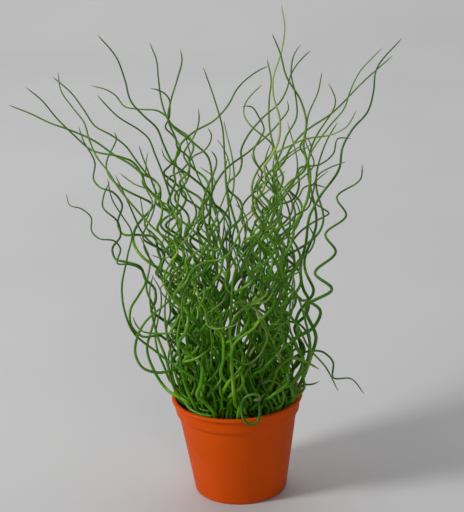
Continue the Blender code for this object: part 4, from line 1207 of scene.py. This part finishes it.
def make_tufts(places, rng):
    """Each tuft: its crown, its stems and the dry sheaths at their feet, as one piece."""
    lines, crowns = frame_lines(places)
    more, more_crowns = more_lines(places, lines)
    names = [*DRAWN_STEMS, *[""] * (len(lines) - len(DRAWN_STEMS)), *FRONT_STEMS]
    lines, crowns = lines + more, np.array(crowns + more_crowns)
    lines = np.stack([smooth_through(line, np.linspace(0.0, along(line)[-1], RINGS)) for line in lines])
    stoutness = rng.uniform(*STOUTNESS, len(lines))
    stoutness[len(names):] *= FINER
    names += [""] * (len(lines) - len(names))
    stoutness = np.array([STOUT_STEMS.get(name, times) for name, times in zip(names, stoutness)])
    blunt = np.array([BLUNT_STEMS.get(name, 0.0) for name in names])
    lines = settle(lines, round_radii(lines, stoutness, blunt))
    radii = round_radii(lines, stoutness, blunt)
    distance = ring_distances(lines)
    stems = tube_rings(lines, radii, STEM_SIDES)
    angle = np.arange(STEM_SIDES) * math.tau / STEM_SIDES
    offset = np.arange(len(lines))[:, None, None] * GRAIN_APART
    grain = round_axis(GRAIN_ROUND, angle, distance[:, :, None] / GRAIN_LENGTH + offset)
    tint = rng.uniform(*TINT, len(lines))
    tint = np.array([PALE_STEMS.get(name, value) for name, value in zip(names, tint)])
    up = distance / distance[:, -1:]
    left = distance[:, -1:] - distance
    dry_length = rng.uniform(*DRY_TIP, len(lines))[:, None]
    dry = np.clip(DRY_START - left / dry_length, 0.0, 1.0)
    skin = waxy_rush_stem()
    sheath_lengths = rng.uniform(*SHEATH_LENGTH, len(lines))
    for number, (across, depth, _) in enumerate(places):
        mine = np.flatnonzero(crowns == number)
        sheaths = sheath_rings(lines[mine], radii[mine], sheath_lengths[mine])
        knob = crown_rings(across, depth, number)
        dead = np.concatenate([sheaths.reshape(-1, 3), knob.reshape(-1, 3)])
        marks = {"grain": np.concatenate([grain[mine].reshape(-1, 3), dead * DEAD_GRAIN])}
        values = {"tint": (tint[mine, None], DEAD_TINT), "up": (up[mine], 0.0), "dry": (dry[mine], 1.0)}
        for mark, (live, of_dead) in values.items():
            live = np.broadcast_to(live[..., None], stems[mine].shape[:3])
            marks[mark] = np.concatenate([live.ravel(), np.full(len(dead), of_dead)])
        name = f"tuft_{number + 1:02d}"
        make_piece("rush_" + name, [stems[mine], sheaths, knob], skin, [name], marks)


def sheath_rings(lines, radii, lengths):
    """Rings of the dry sheath round each stem's foot: a thin sleeve with an oblique mouth.

    Its radius is the stem's plus SHEATH_THICKNESS (SHEATH_LOOSE - share), where share is the part
    of its length. At both ends a hem goes back inside the stem.
    """
    share = np.concatenate([[-SHEATH_HEM], np.linspace(0.0, 1.0, SHEATH_RINGS), [1.0 + SHEATH_HEM]])
    thickness = SHEATH_THICKNESS * (SHEATH_LOOSE - share)
    thickness[[0, -1]] = -SHEATH_THICKNESS
    centres, skin = [], []
    for line, width, length in zip(lines, radii, lengths):
        places = ROOT_DEPTH - SHEATH_SUNK + share * length
        centres.append(smooth_through(line, places))
        skin.append(np.interp(places, along(line), width) + thickness)
    slant = SHEATH_MOUTH * np.clip(share, 0.0, 1.0) ** 3
    return tube_rings(np.array(centres), np.array(skin), STEM_SIDES, slant)


def crown_rings(across, depth, number):
    """Rings of a crown's knob: a low uneven dome of rhizome, mostly sunk in the compost.

    Its radius swells and shrinks in lobes: 1 + the sum of size sin(count a + turn number).
    """
    rise = np.linspace(0.0, math.pi / 2, CROWN_DOME_RINGS + 1)[1:]
    dome = zip(CROWN_RADIUS * np.cos(rise) + CROWN_HUB, SOIL_TOP + CROWN_ABOVE * np.sin(rise))
    foot = (CROWN_RADIUS * CROWN_FOOT_SHARE, SOIL_TOP - CROWN_BELOW)
    waist = (CROWN_RADIUS, SOIL_TOP - CROWN_WAIST)
    rings = turned_rings([foot, waist, (CROWN_RADIUS, SOIL_TOP), *dome], CROWN_SIDES)
    angle = np.arctan2(rings[..., 1], rings[..., 0])
    lobes = sum(size * np.sin(count * angle + turn * number) for count, turn, size in CROWN_LOBES)
    rings[..., :2] *= (1.0 + lobes)[..., None]
    return rings + np.array((across, depth, 0.0))


def make_backdrop():
    """A sheet of studio paper: a floor, a quarter circle, and a wall far behind the plant."""
    sweep = np.linspace(0.0, math.pi / 2, SWEEP_RINGS)
    curve = zip(WALL_DEPTH - SWEEP_RADIUS * (1.0 - np.sin(sweep)), SWEEP_RADIUS * (1.0 - np.cos(sweep)))
    profile = [(FLOOR_FRONT, 0.0), *curve, (WALL_DEPTH, WALL_HEIGHT)]
    sides = (-FLOOR_HALF_WIDTH, FLOOR_HALF_WIDTH)
    points = np.array([(side, *place) for place in profile for side in sides])
    faces = np.arange(len(profile) - 1)[:, None] * 2 + np.array((0, 1, 3, 2))
    mesh = bpy.data.meshes.new("studio_paper")
    mesh.from_pydata((points * MM).tolist(), [], faces.tolist())
    mesh.materials.append(seamless_paper())
    mesh.shade_smooth()
    paper = new_object("studio_paper", mesh)


def make_light(name, place, aim, size, power):
    """A square soft light of this size, in the given place and aimed at a point."""
    lamp = bpy.data.lights.new(name, "AREA")
    lamp.size = size * MM
    lamp.energy = power
    turn = (Vector(place) - Vector(aim)).to_track_quat("Z", "Y").to_matrix().to_4x4()
    new_object(name, lamp).matrix_world = Matrix.Translation(Vector(place) * MM) @ turn


def make_camera():
    """The camera where the photograph was taken from, found by fitting the pot's outline."""
    pitch, yaw, roll = (math.radians(angle) for angle in (CAMERA_PITCH, CAMERA_YAW, CAMERA_ROLL))
    ahead = Vector((math.sin(yaw) * math.cos(pitch), math.cos(yaw) * math.cos(pitch), -math.sin(pitch)))
    level = Vector((math.cos(yaw), -math.sin(yaw), 0.0))
    upright = level.cross(ahead)
    across = level * math.cos(roll) + upright * math.sin(roll)
    over = upright * math.cos(roll) - level * math.sin(roll)
    lens = bpy.data.cameras.new("camera")
    lens.sensor_width = SENSOR_WIDTH
    lens.lens = FOCAL_PIXELS * SENSOR_WIDTH / FRAME_HEIGHT
    camera = new_object("camera", lens)
    turn = Matrix((across, over, -ahead)).transposed().to_4x4()
    camera.matrix_world = Matrix.Translation(Vector(CAMERA_PLACE) * MM) @ turn
    bpy.context.scene.camera = camera


def make_studio():
    """Paper, lights and camera: the lights come from the upper left, the front right and above."""
    make_backdrop()
    for name, light in LIGHTS.items():
        make_light(name, *light)
    world = bpy.data.worlds.new("studio")
    world.use_nodes = True
    world.node_tree.nodes["Background"].inputs["Color"].default_value = linear("#FFFFFF")
    world.node_tree.nodes["Background"].inputs["Strength"].default_value = ROOM_STRENGTH
    bpy.context.scene.world = world
    bpy.context.scene.view_settings.view_transform = "Standard"
    make_camera()


def main():
    """Builds the pot, the compost, the tufts and the studio."""
    rng = np.random.default_rng(LOOKS_SEED)
    make_pot()
    make_compost(rng)
    make_tufts(crown_places(), rng)
    make_studio()
    bpy.context.view_layer.update()


main()
